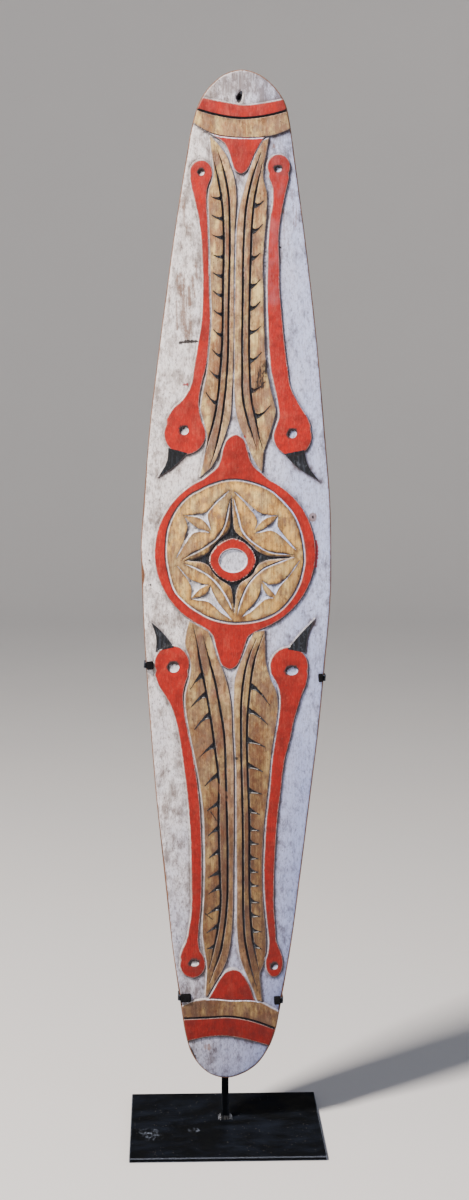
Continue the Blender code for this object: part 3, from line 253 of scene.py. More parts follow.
# Birds: rows up, left and right along the neck; ends are ellipses, the big one the head
BIRDS = {
    "upper_left": {
        "rows": (
            (931, -95.4, -48), (946, -86, -51), (957, -74, -51.3), (980, -61.5, -47.7),
            (1000, -58.5, -42.5), (1036, -52.8, -38.5), (1066, -48.5, -36.8), (1105, -47.3, -38.4),
            (1150, -48.4, -39.6), (1200, -53.4, -41.6), (1228, -60, -43.4), (1243, -63.5, -42.5),
            (1255, -66, -37.5),
        ),
        "bottom_end": (-70, 911, 28.5, 28),
        "top_end": (-51, 1263.5, 15.2, 15.7),
        "beak": ((-93, 892), (-94, 876), (-107, 851), (-88, 863), (-66, 885)),
        "eyes": ((-71, 916, 6.3, 6.3), (-51, 1263, 4.6, 4.6)),
    },
    "upper_right": {
        "rows": (
            (924, 55, 102.3), (936, 58.5, 97), (950, 57.4, 87.7), (979, 51, 73), (1000, 46.4, 69.7),
            (1020, 44.2, 66.6), (1051, 42.3, 62.8), (1082, 40.8, 59.5), (1113, 40, 56.6),
            (1143, 40.3, 56.2), (1174, 40.8, 54.6), (1200, 42.6, 56.6), (1228, 46.5, 61.5),
            (1244, 45.5, 65), (1258, 40, 68),
        ),
        "bottom_end": (77.5, 909, 26.3, 26.3),
        "top_end": (53.7, 1272, 15.7, 16.5),
        "beak": ((66, 885), (85, 866), (117, 847), (99.5, 870), (94, 891)),
        "eyes": ((77, 913, 6.4, 6.4), (53, 1269, 5, 4.4)),
    },
    "lower_left": {
        "rows": (
            (177, -70.8, -37), (188, -67.7, -43.5), (200, -62.3, -45.4), (220, -58.5, -44.6),
            (245, -55.4, -42.3), (282, -55.8, -41.5), (343, -57.4, -42.3), (413, -63, -47),
            (470, -71, -56), (500, -76, -62.5), (534, -86, -68.7), (548, -94, -69.6),
            (563, -103.5, -67.5), (578, -109, -62.5),
        ),
        "bottom_end": (-53, 166, 17.9, 18.7),
        "top_end": (-85.4, 594, 24, 25.2),
        "beak": ((-82, 617), (-99, 638), (-115.4, 652.7), (-108, 632), (-108, 611)),
        "eyes": ((-83, 588.8, 8, 7.5), (-51, 168.5, 7, 5)),
    },
    "lower_right": {
        "rows": (
            (178, 51.5, 73.3), (188, 53.4, 69.5), (200, 54, 64.8), (220, 51.8, 63), (251, 48.4, 60.3),
            (282, 46, 60), (343, 46.6, 61.8), (374, 48.2, 63.5), (417, 52.3, 68), (454, 54.8, 71.8),
            (494, 60, 81), (513, 63, 84.5), (535, 65, 90.5), (551, 64.8, 95.4), (566, 60.5, 101),
            (580, 52.5, 103.5),
        ),
        "bottom_end": (62, 168, 12.3, 19.5),
        "top_end": (77, 591.5, 26.5, 26.5),
        "beak": ((100, 610), (103, 633), (112.3, 658), (93, 638), (74, 615)),
        "eyes": ((80.8, 585.3, 9, 6.7), (62.3, 164, 5, 5)),
    },
}

# Feathers: lines from the top down, and the notches as root and tip in the vane
FEATHERS = {
    "upper_left": {
        "outer_edge": (
            (-40, 1311), (-37.5, 1290), (-34.3, 1270), (-34.8, 1257), (-40.2, 1240), (-39.9, 1200),
            (-38, 1150), (-36.6, 1105), (-35, 1066), (-36.8, 1036), (-40.8, 995), (-46.5, 965),
            (-49, 945), (-44, 926), (-40, 909), (-41.5, 892), (-45, 872), (-49.5, 851.5),
        ),
        "inner_edge": (
            (-37, 1310), (-26, 1298), (-17, 1286), (-11.5, 1272), (-6.5, 1257), (-3.4, 1240),
            (-3.4, 1215), (-4.8, 1190), (-4.9, 1000), (-6.5, 965), (-8.5, 932), (-13.5, 915),
            (-21, 893), (-27, 877), (-34, 865),
        ),
        "outer_groove": (
            (-36, 1287), (-31, 1268), (-26, 1246), (-22, 1222), (-20.2, 1200), (-19.7, 1100),
            (-19.9, 1040), (-22.8, 990), (-26, 955), (-31, 928), (-37, 905), (-42.3, 884),
        ),
        "inner_groove": (
            (-30.5, 1297), (-23.5, 1277), (-17, 1253), (-13, 1230), (-11.6, 1200), (-11.8, 1080),
            (-12.5, 1005), (-16.5, 955), (-22.8, 913), (-28, 890), (-35, 868),
        ),
        "notches": (
            (1230, 1), (1203, 3.5), (1178, 2), (1152, 1.5), (1126, 3.5), (1100, 5), (1075, 4),
            (1047, 6), (1019, 7.5), (990, 8), (955, 13),
        ),
        "notch_mouth": 6.5,
        "notch_share": 0.80,
    },
    "upper_right": {
        "outer_edge": (
            (40, 1310), (36.5, 1288), (33, 1268), (34, 1253), (38, 1240), (38.4, 1215), (35.5, 1175),
            (33.8, 1140), (34.8, 1110), (37, 1055), (40, 1005), (45, 980), (51, 957), (54, 944),
            (49, 922), (43.5, 903), (38.7, 889), (37.6, 876), (36.5, 862),
        ),
        "inner_edge": (
            (32, 1306), (22, 1287), (13, 1262), (6, 1237), (1.6, 1218), (-1.8, 1195), (-3, 1150),
            (-3.2, 1000), (-2.8, 960), (-0.5, 940), (5.5, 919), (12.5, 904), (21, 884), (28, 870),
            (35.4, 860),
        ),
        "outer_groove": (
            (32, 1276), (26.5, 1252), (22, 1230), (19.5, 1205), (17.5, 1150), (16.6, 1082),
            (17.7, 1000), (20.8, 959), (27.7, 928), (33, 904), (37.6, 891),
        ),
        "inner_groove": (
            (30, 1290), (22, 1268), (14.5, 1240), (10, 1212), (8, 1174), (7.3, 1100), (7.7, 1000),
            (9.2, 959), (14.5, 935), (21.5, 913), (30, 888),
        ),
        "notches": (
            (1221, 6), (1187, 8), (1151, 6), (1113, 8), (1083, 9), (1051, 7.5), (1013, 10),
            (972, 11), (937.5, 13.5),
        ),
        "notch_mouth": 7.5,
        "notch_share": 0.77,
    },
    "lower_left": {
        "outer_edge": (
            (-62, 654), (-66, 638), (-67.6, 620), (-62.4, 606), (-59.2, 592), (-61, 574), (-66.6, 552),
            (-66, 530), (-60, 497), (-52.6, 462), (-46, 428), (-40, 384), (-38, 343), (-37.8, 265),
            (-39.8, 215), (-37, 188), (-33.2, 166), (-33.2, 150), (-35, 121),
        ),
        "inner_edge": (
            (-35.5, 640), (-28.5, 622), (-22.5, 603), (-14.5, 585), (-7, 560), (-3, 538), (-1, 500),
            (1.2, 466), (2.4, 430), (2.8, 300), (2.8, 240), (0.3, 200), (-3.5, 178), (-10, 160),
            (-19.5, 143), (-32, 120),
        ),
        "outer_groove": (
            (-56.5, 648), (-51, 624), (-46, 595), (-40, 568), (-34, 536), (-28, 500), (-23.5, 468),
            (-19.5, 440), (-18.5, 374), (-16, 300), (-14.3, 255), (-17.7, 220), (-23, 190),
            (-29.5, 160),
        ),
        "inner_groove": (
            (-42.3, 633), (-34, 601), (-26, 572), (-18, 532), (-12, 497), (-9.3, 445), (-6.8, 380),
            (-5, 310), (-5.4, 255), (-9, 215), (-15, 181), (-23, 157), (-28.5, 140),
        ),
        "notches": (
            (580.5, -22), (553.5, -20.5), (524.5, -23), (481.5, -18.5), (440, -18), (399.5, -12.5),
            (364.5, -13), (331.5, -12.5), (301.5, -9.5), (280.5, -12.5), (251.5, -12.5), (224.5, -12.5),
            (195.5, -6.5),
        ),
        "notch_mouth": 9.5,
        "notch_share": 0.75,
    },
    "lower_right": {
        "outer_edge": (
            (42.5, 642), (43.8, 620), (44.5, 600), (52, 573), (59.5, 557), (62.3, 540), (60, 508),
            (54.5, 472), (51.2, 430), (47, 385), (44.2, 350), (43.5, 290), (46, 248), (50, 205),
            (49.8, 183), (46.6, 166), (42.2, 154), (43.5, 135), (45.5, 112.5),
        ),
        "inner_edge": (
            (27.5, 638.5), (20, 624), (14, 608), (7, 591), (1.5, 572), (0.6, 550), (1.6, 505),
            (4.4, 460), (5.6, 405), (6.6, 340), (8, 270), (9.5, 205), (14, 175), (23, 151),
            (32.5, 130), (38, 114),
        ),
        "outer_groove": (
            (41.3, 636), (33, 613), (27, 590), (23, 555), (20.3, 520), (20, 482), (22, 430),
            (24.6, 374), (25.5, 300), (28, 235), (32, 198), (37, 174), (41, 157),
        ),
        "inner_groove": (
            (31.5, 630), (23, 609), (17, 588), (12.3, 555), (11.7, 490), (13.7, 425), (15.5, 370),
            (16.6, 300), (18, 235), (21.5, 195), (27, 170), (34, 145), (38.5, 131),
        ),
        "notches": (
            (565, -28), (531, -21.5), (489, -11), (453.5, -11), (418, -7), (390, -8.6), (364, -5),
            (344, -4), (323, -4), (304, -4.5), (284, -4), (261, -5.5), (240, -3.5), (218, -4),
            (196, -7.6),
        ),
        "notch_mouth": 8.5,
        "notch_share": 0.70,
    },
}

# Notches: width of the tip, shares of the mouth above and below its root, and pull of the bend
NOTCH_LINE_WIDTH = 1.4
NOTCH_ABOVE = 0.35
NOTCH_BELOW = 0.65
NOTCH_BEND = (0.4, -0.45)

# The slit near the board's top: points all round it
SLIT = ((2.6, 1371.5), (-3.9, 1364), (-1.4, 1356), (3, 1363))

# Form of the carving in mm: walls, edges and grooves; a cut's wall has its start and its run
WALL_RUN = 1.5
WALL_ROUNDNESS = 2.2
ROUNDING = 0.8
EDGE_ROUNDING = 3.0
EDGE_FALL = 1.3
GROOVE_HALF_WIDTH = 2.0
FINE_HALF_WIDTH = 1.8
RIM_HALF_WIDTH = 2.2
SEAM_HALF_WIDTH = 0.6
SEAM_DEPTH = 0.8
CHIP_SLOPE = 1.15
CHIP_START = 0.3
LEAST_BEVEL = 0.1
NOTCH_WALL = (0.0, 1.3)
STAR_WALL = (0.4, 2.4)
STAR_EYE_WALL = (0.4, 2.6)
EYE_WALL = (0.3, 2.8)
SLIT_WALL = (0.4, 1.6)

# Grooves thin out to a share of their width over a share of their length
GROOVE_END = 0.25
GROOVE_TAPER = 0.1
BAND_TAPER = 0.001
MARGIN_TAPER = 0.12

# Seams where the tongues meet the bands: shifts from the upper and the lower band's edge
SEAM_SHIFTS = {"dark_seam": (-0.1, 1.3), "pale_seam": (1.5, -0.3)}

# Tool waves of the face by depth, size and order of the axes, and those of the back
TOOL_WAVES = ((0.22, 34, 1), (0.10, 11, -1))
HEWN_DEPTH = 0.35
HEWN_SIZE = 60

# Points of the fine mesh in mm: steps, rows beside the lines, gaps, and how far a paint's edge is measured
EDGE_SPACING = 2.0
ROW_SPACING = 1.5
CUT_SPACING = 1.1
FIELD_SPACING = 2.8
BACK_SPACING = 9.0
RING_OFFSETS = (0.0, 1.6)
CUT_OFFSETS = (0.0, 0.7, 1.4)
RIM_INSETS = (1.0, 2.4)
V_SHARES = (0.0, -1.0, 1.0, -0.45, 0.45)
WIDE_MARK = 4
LEAST_GAP = 0.62
ROW_MARGIN = 1.2
FIELD_MARGIN = 3.2
FIELD_GAP = 0.55 * FIELD_SPACING
BACK_MARGIN = 3
SIDE_STEP = 1.2
REACH = 8.0

# Paints: how far in mm each spreads past its line, and its value away from the face; the notch and beak rims
# get a painted highlight
SPREAD = {
    "groove": -0.5, "notch": 0.6, "arm": 0.1, "slit": 0.6, "hollow": 0.15, "star_eye": 0.2, "eye": -0.3,
}
ELSEWHERE = {
    "red_paint": -REACH, "ochre_paint": -REACH, "black_paint": -REACH, "white_line": -REACH,
    "bare_wood": REACH,
}
LINE_CORE = 0.95
RIM_CORE = 1.0
NOTCH_RIM = 1.6
BEAK_RIM = 1.2
NOTCH_GLEAM = 0.6
GLEAM_BELOW = 700
GLEAM_GAP = 0.2
EDGE_WEAR = 1.5
MARK_FADE = 1.5
DISC_MARGIN = 1

# Shade in the cuts: cut, share of shade at its edge, and the depth in mm that adds a full share
CUT_SHADES = (
    ("hollows", 1, 4), ("margins", 1, 4), ("rim_groove", 1, 4), ("arms", 1, 6), ("notches", 0.7, 5),
    ("grooves", 0.65, 8), ("band_grooves", 0.65, 8),
)

# Painted shade, and soil with painted shade at the figures' feet and in the hollows and eyes: strengths, and
# how far the soil and shade reach from the figures in mm
BEVEL_SHADE = 0.72
FOOT_SHADE = 0.6
FOOT_FADE = 4
FOOT_CUT = 2
SOIL_AND_SHADE_FADE = 5
SOIL_AND_SHADE_EDGE = 0.2
HOLLOW_SOIL_AND_SHADE = 0.7
HOLLOW_SOIL_AND_SHADE_WALL = (-0.7, 2)
EYE_SOIL_AND_SHADE = 0.55
STAR_EYE_SOIL_AND_SHADE = 0.25

# Painted shadow on the side away from the light: its reach in mm, softness, strength, and how far it
# overlaps the wall
LIGHT_SIDE = (-0.6, 0.0, 0.8)
WALL_SHADOW = (2.1, 1.2, 1.0, 0.05)
HOLLOW_SHADOW = (1.1, 0.8, 1.2, 0.25)
EYE_SHADOW = (4.6, 1.5, 2.0, 0.2)

# Marks of age on the face: paint name, points from end to end, half width, and strength
MARKS = (
    ("brown_mark", ((-77, 1122), (-72, 1085), (-69, 1046)), 9, 0.42),
    ("brown_mark", ((-66, 1110), (-65, 1086)), 2.2, 0.85),
    ("brown_mark", ((-74, 1098), (-72, 1060)), 2.6, 0.75),
    ("brown_mark", ((-83, 1090), (-82, 1052)), 2.0, 0.7),
    ("brown_mark", ((-62, 1124), (-58, 1096)), 1.8, 0.6),
    ("brown_mark", ((-91, 1112), (-94, 1080)), 3, 0.5),
    ("brown_mark", ((-58, 1140), (-54, 1122)), 3, 0.5),
    ("brown_mark", ((-80, 1240), (-68, 1190)), 5, 0.35),
    ("brown_mark", ((62, 1215), (66, 1170)), 5, 0.3),
    ("brown_mark", ((74, 1240), (78, 1195)), 4, 0.35),
    ("dark_mark", ((-78.5, 1034.7), (-66, 1036.4), (-53.5, 1037)), 0.9, 1.3),
    ("red_mark", ((-72, 978), (-67, 978.5)), 1.8, 0.7),
    ("red_mark", ((12, 908.5), (12, 908)), 1.6, 0.9),
    ("red_mark", ((112.0, 766), (113.0, 756), (113.1, 747), (112.5, 737), (111.8, 730)), 0.9, 1.3),
    ("red_mark", ((112.6, 759), (113.0, 749), (112.6, 741)), 1.4, 1.3),
    ("brown_mark", ((107, 799), (107, 798)), 5.0, 1.2),
    ("brown_mark", ((107, 799), (107, 798)), 2.6, 1.6),
    ("dark_mark", ((107, 799), (107, 798.6)), 1.3, 0.9),
    ("brown_mark", ((47, 1300), (47, 1299)), 3.0, 0.6),
    ("dark_mark", ((38, 1008), (34, 994), (32, 978)), 7.0, 0.5),
    ("dark_mark", ((27, 983), (26, 968)), 3.0, 0.45),
    ("brown_mark", ((34, 1000), (30, 975), (29, 955)), 8, 0.45),
    ("brown_mark", ((-24, 425), (-14, 414), (-6, 405)), 4.5, 0.9),
    ("dark_mark", ((-17, 416), (-8, 406)), 2.6, 0.42),
    ("dark_mark", ((5, 462), (5.3, 461)), 1.4, 1.0),
    ("dark_mark", ((-116, 703), (-116, 702.6)), 1.3, 0.9),
    ("dark_mark", ((-117, 737), (-117, 736.6)), 1.3, 0.9),
    ("dark_mark", ((-57, 46), (-53, 37), (-48, 28)), 1.5, 1.0),
    ("brown_mark", ((-31, 46), (-30, 45)), 5, 0.6),
    ("dark_mark", ((57.5, 1165), (57.8, 1164)), 1.3, 0.8),
    ("dark_mark", ((-30, 386), (-21, 373)), 0.7, 0.8),
    ("dark_mark", ((-36, 240), (-26, 232)), 0.7, 0.8),
    ("faded", ((48, 1196), (48, 1150), (49, 1096)), 9, 1.0),
    ("faded", ((54, 1282), (56, 1262), (52, 1240)), 9, 0.7),
)
MARK_NAMES = ("brown_mark", "dark_mark", "red_mark", "faded")


def slope_at(before, here, after):
    """Direction of a smooth line where it passes the middle one of three points."""
    back = (here - before).length
    ahead = (after - here).length
    if back == 0:
        return (after - here) / ahead
    if ahead == 0:
        return (here - before) / back
    return ((here - before) / back * ahead + (after - here) / ahead * back) / (back + ahead)


def curve_through(points, steps=LINE_STEPS, closed=False):
    """Points of a smooth line through the given ones, with this many steps from each to the next."""
    knots = [Vector(point) for point in points]
    count = len(knots)
    line = []
    for index in range(count if closed else count - 1):
        before = knots[index - 1] if closed or index > 0 else knots[0]
        start = knots[index]
        end = knots[(index + 1) % count]
        after = knots[(index + 2) % count] if closed or index + 2 < count else end
        span = (end - start).length
        leave = slope_at(before, start, end) * span
        arrive = slope_at(start, end, after) * span
        for step in range(steps):
            t = step / steps
            line.append(
                start * (2 * t**3 - 3 * t**2 + 1) + leave * (t**3 - 2 * t**2 + t)
                + end * (3 * t**2 - 2 * t**3) + arrive * (t**3 - t**2)
            )
    if not closed:
        line.append(knots[-1])
    return line


def bow(start, pull, end):
    """Points of a bent line from the start to just before the end, drawn towards the pull."""
    start, pull, end = Vector(start), Vector(pull), Vector(end)
    line = []
    for step in range(LINE_STEPS):
        t = step / LINE_STEPS
        line.append(start * (1 - t)**2 + pull * (2 * t * (1 - t)) + end * t**2)
    return line


def ellipse(shape, steps):
    """Closed ellipse, counter-clockwise, from its centre and its two radii."""
    across, up, radius_across, radius_up = shape
    turns = [2 * math.pi * step / steps for step in range(steps)]
    return [Vector((across + radius_across * math.cos(a), up + radius_up * math.sin(a))) for a in turns]


def end_arc(shape, start, stop, steps=ARC_STEPS):
    """Counter-clockwise round the far side of an elliptic end, from near start to near stop."""
    across, up, radius_across, radius_up = shape
    first = math.atan2((start.y - up) / radius_up, (start.x - across) / radius_across)
    last = math.atan2((stop.y - up) / radius_up, (stop.x - across) / radius_across)
    if last < first:
        last += 2 * math.pi
    arc = []
    for step in range(1, steps):
        angle = first + (last - first) * step / steps
        arc.append(Vector((across + radius_across * math.cos(angle), up + radius_up * math.sin(angle))))
    return arc


def board_outline():
    """Counter-clockwise outline of the board."""
    right = [(row[2], row[0]) for row in BOARD_ROWS]
    left = [(row[1], row[0]) for row in reversed(BOARD_ROWS)]
    return curve_through([BOARD_LOW_TIP, *right, BOARD_HIGH_TIP, *left], BOARD_STEPS, closed=True)


def tongue_line(tongue):
    """Smooth line down the left side of a tongue, round its tip and back along the right side."""
    left = [(row[1], row[0]) for row in tongue["rows"]]
    right = [(row[2], row[0]) for row in reversed(tongue["rows"])]
    return curve_through([*left, tongue["tip"], *right])


def ring_outline():
    """Counter-clockwise outline of the ring with its two tongues."""
    across, up, radius, _ = RING_OUTER
    foot = math.sqrt(radius**2 - RING_TONGUE_HALF_WIDTH**2)
    right_top = Vector((across + RING_TONGUE_HALF_WIDTH, up + foot))
    left_top = Vector((across - RING_TONGUE_HALF_WIDTH, up + foot))
    right_bottom = Vector((across + RING_TONGUE_HALF_WIDTH, up - foot))
    left_bottom = Vector((across - RING_TONGUE_HALF_WIDTH, up - foot))
    upper = list(reversed(tongue_line(RING_UPPER_TONGUE)))
    lower = tongue_line(RING_LOWER_TONGUE)
    right_side = end_arc(RING_OUTER, right_bottom, right_top, 2 * ARC_STEPS)
    left_side = end_arc(RING_OUTER, left_top, left_bottom, 2 * ARC_STEPS)
    return [*lower, right_bottom, *right_side, right_top, *upper, left_top, *left_side, left_bottom]


def bird_outline(bird):
    """Counter-clockwise outline of a bird's head, neck and small end."""
    right = curve_through([(row[2], row[0]) for row in bird["rows"]])
    left = curve_through([(row[1], row[0]) for row in reversed(bird["rows"])])
    bottom = end_arc(bird["bottom_end"], left[-1], right[0])
    top = end_arc(bird["top_end"], right[-1], left[0])
    return bottom + right + top + left


def beak_outline(bird):
    """Beak: from a corner at the head along a side to the tip, and back along the other side."""
    corner, side, tip, other_side, other_corner = bird["beak"]
    return curve_through([corner, side, tip]) + curve_through([tip, other_side, other_corner])[1:]


def feather_outline(feather):
    """A whole feather, between its outer and its inner edge."""
    return curve_through(feather["outer_edge"]) + list(reversed(curve_through(feather["inner_edge"])))


def across_at(line, up):
    """Where a line, given by its points, crosses a height on the grid."""
    for start, end in zip(line, line[1:]):
        if min(start.y, end.y) <= up <= max(start.y, end.y):
            return start.x + (end.x - start.x) * (up - start.y) / (end.y - start.y)
    raise ValueError("height off the line")


def notch_outline(feather, root_up, rise):
    """A claw-shaped notch from the outer groove towards the vane's edge."""
    groove = curve_through(feather["outer_groove"])
    edge = curve_through(feather["outer_edge"])
    root = Vector((across_at(groove, root_up), root_up))
    reach = (across_at(edge, root_up + rise) - root.x) * feather["notch_share"]
    tip = root + Vector((reach, rise))
    mouth = feather["notch_mouth"]
    high, low = (
        Vector((across_at(groove, up), up))
        for up in (root_up + NOTCH_ABOVE * mouth, root_up - NOTCH_BELOW * mouth)
    )
    middle = root + Vector((NOTCH_BEND[0] * reach, NOTCH_BEND[1] * mouth))
    half_line = Vector((0, NOTCH_LINE_WIDTH / 2))
    return bow(low, middle - half_line, tip) + bow(tip, middle + half_line, high) + [high]


def squarish(shape, power, steps):
    """Closed line like an ellipse, with flatter or rounder quarters by its power; 2 gives an ellipse."""
    across, up, radius_across, radius_up = shape
    line = []
    for step in range(steps):
        angle = 2 * math.pi * step / steps
        cosine, sine = math.cos(angle), math.sin(angle)
        reach = (abs(cosine) ** power + abs(sine) ** power) ** (-1 / power)
        line.append(Vector((across + radius_across * cosine * reach, up + radius_up * sine * reach)))
    return line


def as_array(points):
    """Points of an outline as an array of across and up."""
    return np.array([(point[0], point[1]) for point in points], float)


def spaced(line, spacing, closed=False):
    """Points at even steps along a line."""
    if closed:
        line = np.vstack([line, line[:1]])
    steps = np.hypot(*np.diff(line, axis=0).T)
    run = np.concatenate([[0], np.cumsum(steps)])
    count = max(2, int(round(run[-1] / spacing)))
    at = np.linspace(0, run[-1], count + 1)
    if closed:
        at = at[:-1]
    return np.column_stack([np.interp(at, run, line[:, 0]), np.interp(at, run, line[:, 1])])


def beside(line, offset, closed=False):
    """The points moved square to their line; a positive offset goes to the left of its direction."""
    if closed:
        ahead = np.roll(line, -1, axis=0) - np.roll(line, 1, axis=0)
    else:
        ahead = np.gradient(line, axis=0)
    length = np.maximum(np.hypot(*ahead.T), 1e-9)
    return line + offset * np.column_stack([-ahead[:, 1], ahead[:, 0]]) / length[:, None]


def line_distance(spots, line):
    """Each spot's distance to a line, and the share of the line's length where it comes nearest."""
    best = np.full(len(spots), np.inf)
    share = np.zeros(len(spots))
    lengths = np.hypot(*np.diff(line, axis=0).T)
    run = 0.0
    for start, end, length in zip(line, line[1:], lengths):
        along = end - start
        t = np.clip((spots - start) @ along / max(length, 1e-9) ** 2, 0, 1)
        gap = np.hypot(*(spots - start - t[:, None] * along).T)
        nearer = gap < best
        best[nearer] = gap[nearer]
        share[nearer] = (run + t[nearer] * length) / lengths.sum()
        run += length
    return best, share


def near_shape(points, shape, reach):
    """Which points lie within reach of a shape's own box."""
    low, high = shape.min(0) - reach, shape.max(0) + reach
    return np.flatnonzero(((points > low) & (points < high)).all(1))


def depth_inside(points, outline):
    """How far inside a closed outline each point lies in mm, and how far outside as a negative number."""
    depth = np.full(len(points), -REACH)
    near = near_shape(points, outline, REACH)
    if len(near) == 0:
        return depth
    spots = points[near]
    gap, _ = line_distance(spots, np.vstack([outline, outline[:1]]))
    within = np.zeros(len(spots), bool)
    before = outline[-1]
    for here in outline:
        passes = (here[1] > spots[:, 1]) != (before[1] > spots[:, 1])
        rise = before[1] - here[1]
        if rise:
            crossing = here[0] + (before[0] - here[0]) * (spots[:, 1] - here[1]) / rise
            within ^= passes & (spots[:, 0] < crossing)
        before = here
    depth[near] = np.where(within, gap, -np.minimum(gap, REACH))
    return depth


def half_width_left(points, line, half_width, taper):
    """How far inside a tapering groove each point lies in mm, from a negative number outside it."""
    left = np.full(len(points), -REACH)
    near = near_shape(points, line, REACH)
    if len(near):
        gap, share = line_distance(points[near], line)
        full = np.minimum(share, 1 - share) / taper
        width = half_width * np.minimum(1, GROOVE_END + (1 - GROOVE_END) * full)
        left[near] = np.maximum(width - gap, -REACH)
    return left


def wall_rise(depth):
    """Share of a figure's height: nothing at the foot of its wall, all past its rounded upper edge."""
    share = np.clip((depth + WALL_RUN) / (WALL_RUN + ROUNDING), 0, 1)
    return 1 - (1 - share) ** WALL_ROUNDNESS


def smooth_step(values):
    """Soft ramp from 0 to 1."""
    values = np.clip(values, 0, 1)
    return values * values * (3 - 2 * values)


def sunk(depth, wall):
    """Share of a cut's depth: nothing where its wall starts, all where its wall has run down."""
    start, run = wall
    return smooth_step((depth + start) / run)


def shapes():
    """Every carved outline and line of the face, as arrays."""
    birds, feathers = BIRDS.values(), FEATHERS.values()
    found = {
        "board": as_array(board_outline()),
        "birds": [as_array(bird_outline(bird)) for bird in birds],
        "beaks": [as_array(beak_outline(bird)) for bird in birds],
        "feathers": [as_array(feather_outline(feather)) for feather in feathers],
        "tongues": [as_array(tongue_line(tongue)) for tongue in (TOP_TONGUE, LOW_TONGUE)],
        "ring": as_array(ring_outline()),
        "rim": as_array(curve_through(RIM_LINE, RIM_STEPS, closed=True)),
        "star": as_array(STAR_EDGE),
        "star_ring": as_array(squarish(STAR_RING, STAR_RING_POWER, STAR_RING_STEPS)),
        "star_eye": as_array(ellipse(STAR_EYE, STAR_EYE_STEPS)),
        "hollows": [as_array(hollow) for hollow in HOLLOWS],
        "eyes": [as_array(ellipse(eye, EYE_STEPS)) for bird in birds for eye in bird["eyes"]],
        "slit": as_array(curve_through(SLIT, FINE_STEPS, closed=True)),
        "margins": [as_array(curve_through(line)) for line in MARGIN_LINES],
        "bevel": as_array(MARGIN_LINES[0][:-1] + MARGIN_LINES[2] + MARGIN_LINES[3] + MARGIN_LINES[1][::-1]),
        "band_grooves": [
            as_array(curve_through(line, FINE_STEPS)) for line in (TOP_BAND_GROOVE, LOW_BAND_GROOVE)
        ],
        "feather_grooves": [
            as_array(curve_through(feather[side], GROOVE_STEPS))
            for feather in feathers for side in ("outer_groove", "inner_groove")
        ],
        "notches": [
            as_array(notch_outline(feather, root_up, rise))
            for feather in feathers for root_up, rise in feather["notches"]
        ],
        "ochre_bands": [
            strip_between(TOP_BAND_LOWER, TOP_BAND_GROOVE), strip_between(LOW_BAND_GROOVE, LOW_BAND_UPPER),
        ],
        "red_bands": [
            strip_between(TOP_BAND_GROOVE, TOP_BAND_UPPER), strip_between(LOW_BAND_LOWER, LOW_BAND_GROOVE),
        ],
        "bands": [
            strip_between(TOP_BAND_LOWER, TOP_BAND_UPPER), strip_between(LOW_BAND_LOWER, LOW_BAND_UPPER),
        ],
    }
    raised = [found[name] for name in ("birds", "beaks", "feathers", "tongues", "bands")]
    found["raised"] = [*(outline for group in raised for outline in group), found["ring"]]
    return found


def strip_between(lower, upper):
    """The strip between two lines that both run from left to right."""
    return as_array(curve_through(lower, FINE_STEPS) + list(reversed(curve_through(upper, FINE_STEPS))))


def deepest(points, outlines):
    """How far inside the nearest of several outlines each point lies."""
    depth = np.full(len(points), -REACH)
    for outline in outlines:
        depth = np.maximum(depth, depth_inside(points, outline))
    return depth


def slow_waves(points, size):
    """Smooth waves of about this size in mm, between -1 and 1, the same at each run."""
    across, up = points.T * (2 * math.pi / size)
    waves = np.sin(across * 0.9 + 0.55 * np.sin(up * 0.31 + 1.3) + 0.4)
    waves += np.sin(up * 0.57 + 0.8 * np.sin(across * 0.43 + 2.1) + 1.9)
    waves += np.sin(across * 0.5 + up * 0.38 + 4.2)
    return waves / 3


def distances(points, carving):
    """How far inside each kind of outline and groove the points lie, in mm."""
    at = SimpleNamespace()
    for name in ("birds", "beaks", "feathers", "tongues", "bands", "hollows", "eyes", "notches",
                 "ochre_bands", "red_bands"):
        setattr(at, name, deepest(points, carving[name]))
    for name in ("ring", "rim", "star", "star_ring", "star_eye", "bevel", "slit", "board"):
        setattr(at, name, depth_inside(points, carving[name]))
    at.grooves = widest_line(points, carving["feather_grooves"], GROOVE_HALF_WIDTH, GROOVE_TAPER)
    at.band_grooves = widest_line(points, carving["band_grooves"], GROOVE_HALF_WIDTH, BAND_TAPER)
    at.margins = widest_line(points, carving["margins"], FINE_HALF_WIDTH, MARGIN_TAPER)
    at.rim_groove = np.maximum(RIM_HALF_WIDTH - np.abs(at.rim), -REACH)
    at.arms = np.minimum(at.star, -at.star_ring)
    at.tall = np.maximum.reduce([at.birds, at.feathers, at.bands, at.ring])
    at.figures = np.maximum.reduce([at.tall, at.tongues, at.beaks])
    top_seam, low_seam = (depth_inside(points, band) for band in carving["bands"])
    for name, (top_shift, low_shift) in SEAM_SHIFTS.items():
        away = np.minimum(np.abs(top_seam + top_shift), np.abs(low_seam + low_shift))
        setattr(at, name, np.minimum(at.tongues + WALL_RUN, SEAM_HALF_WIDTH - away))
    return at


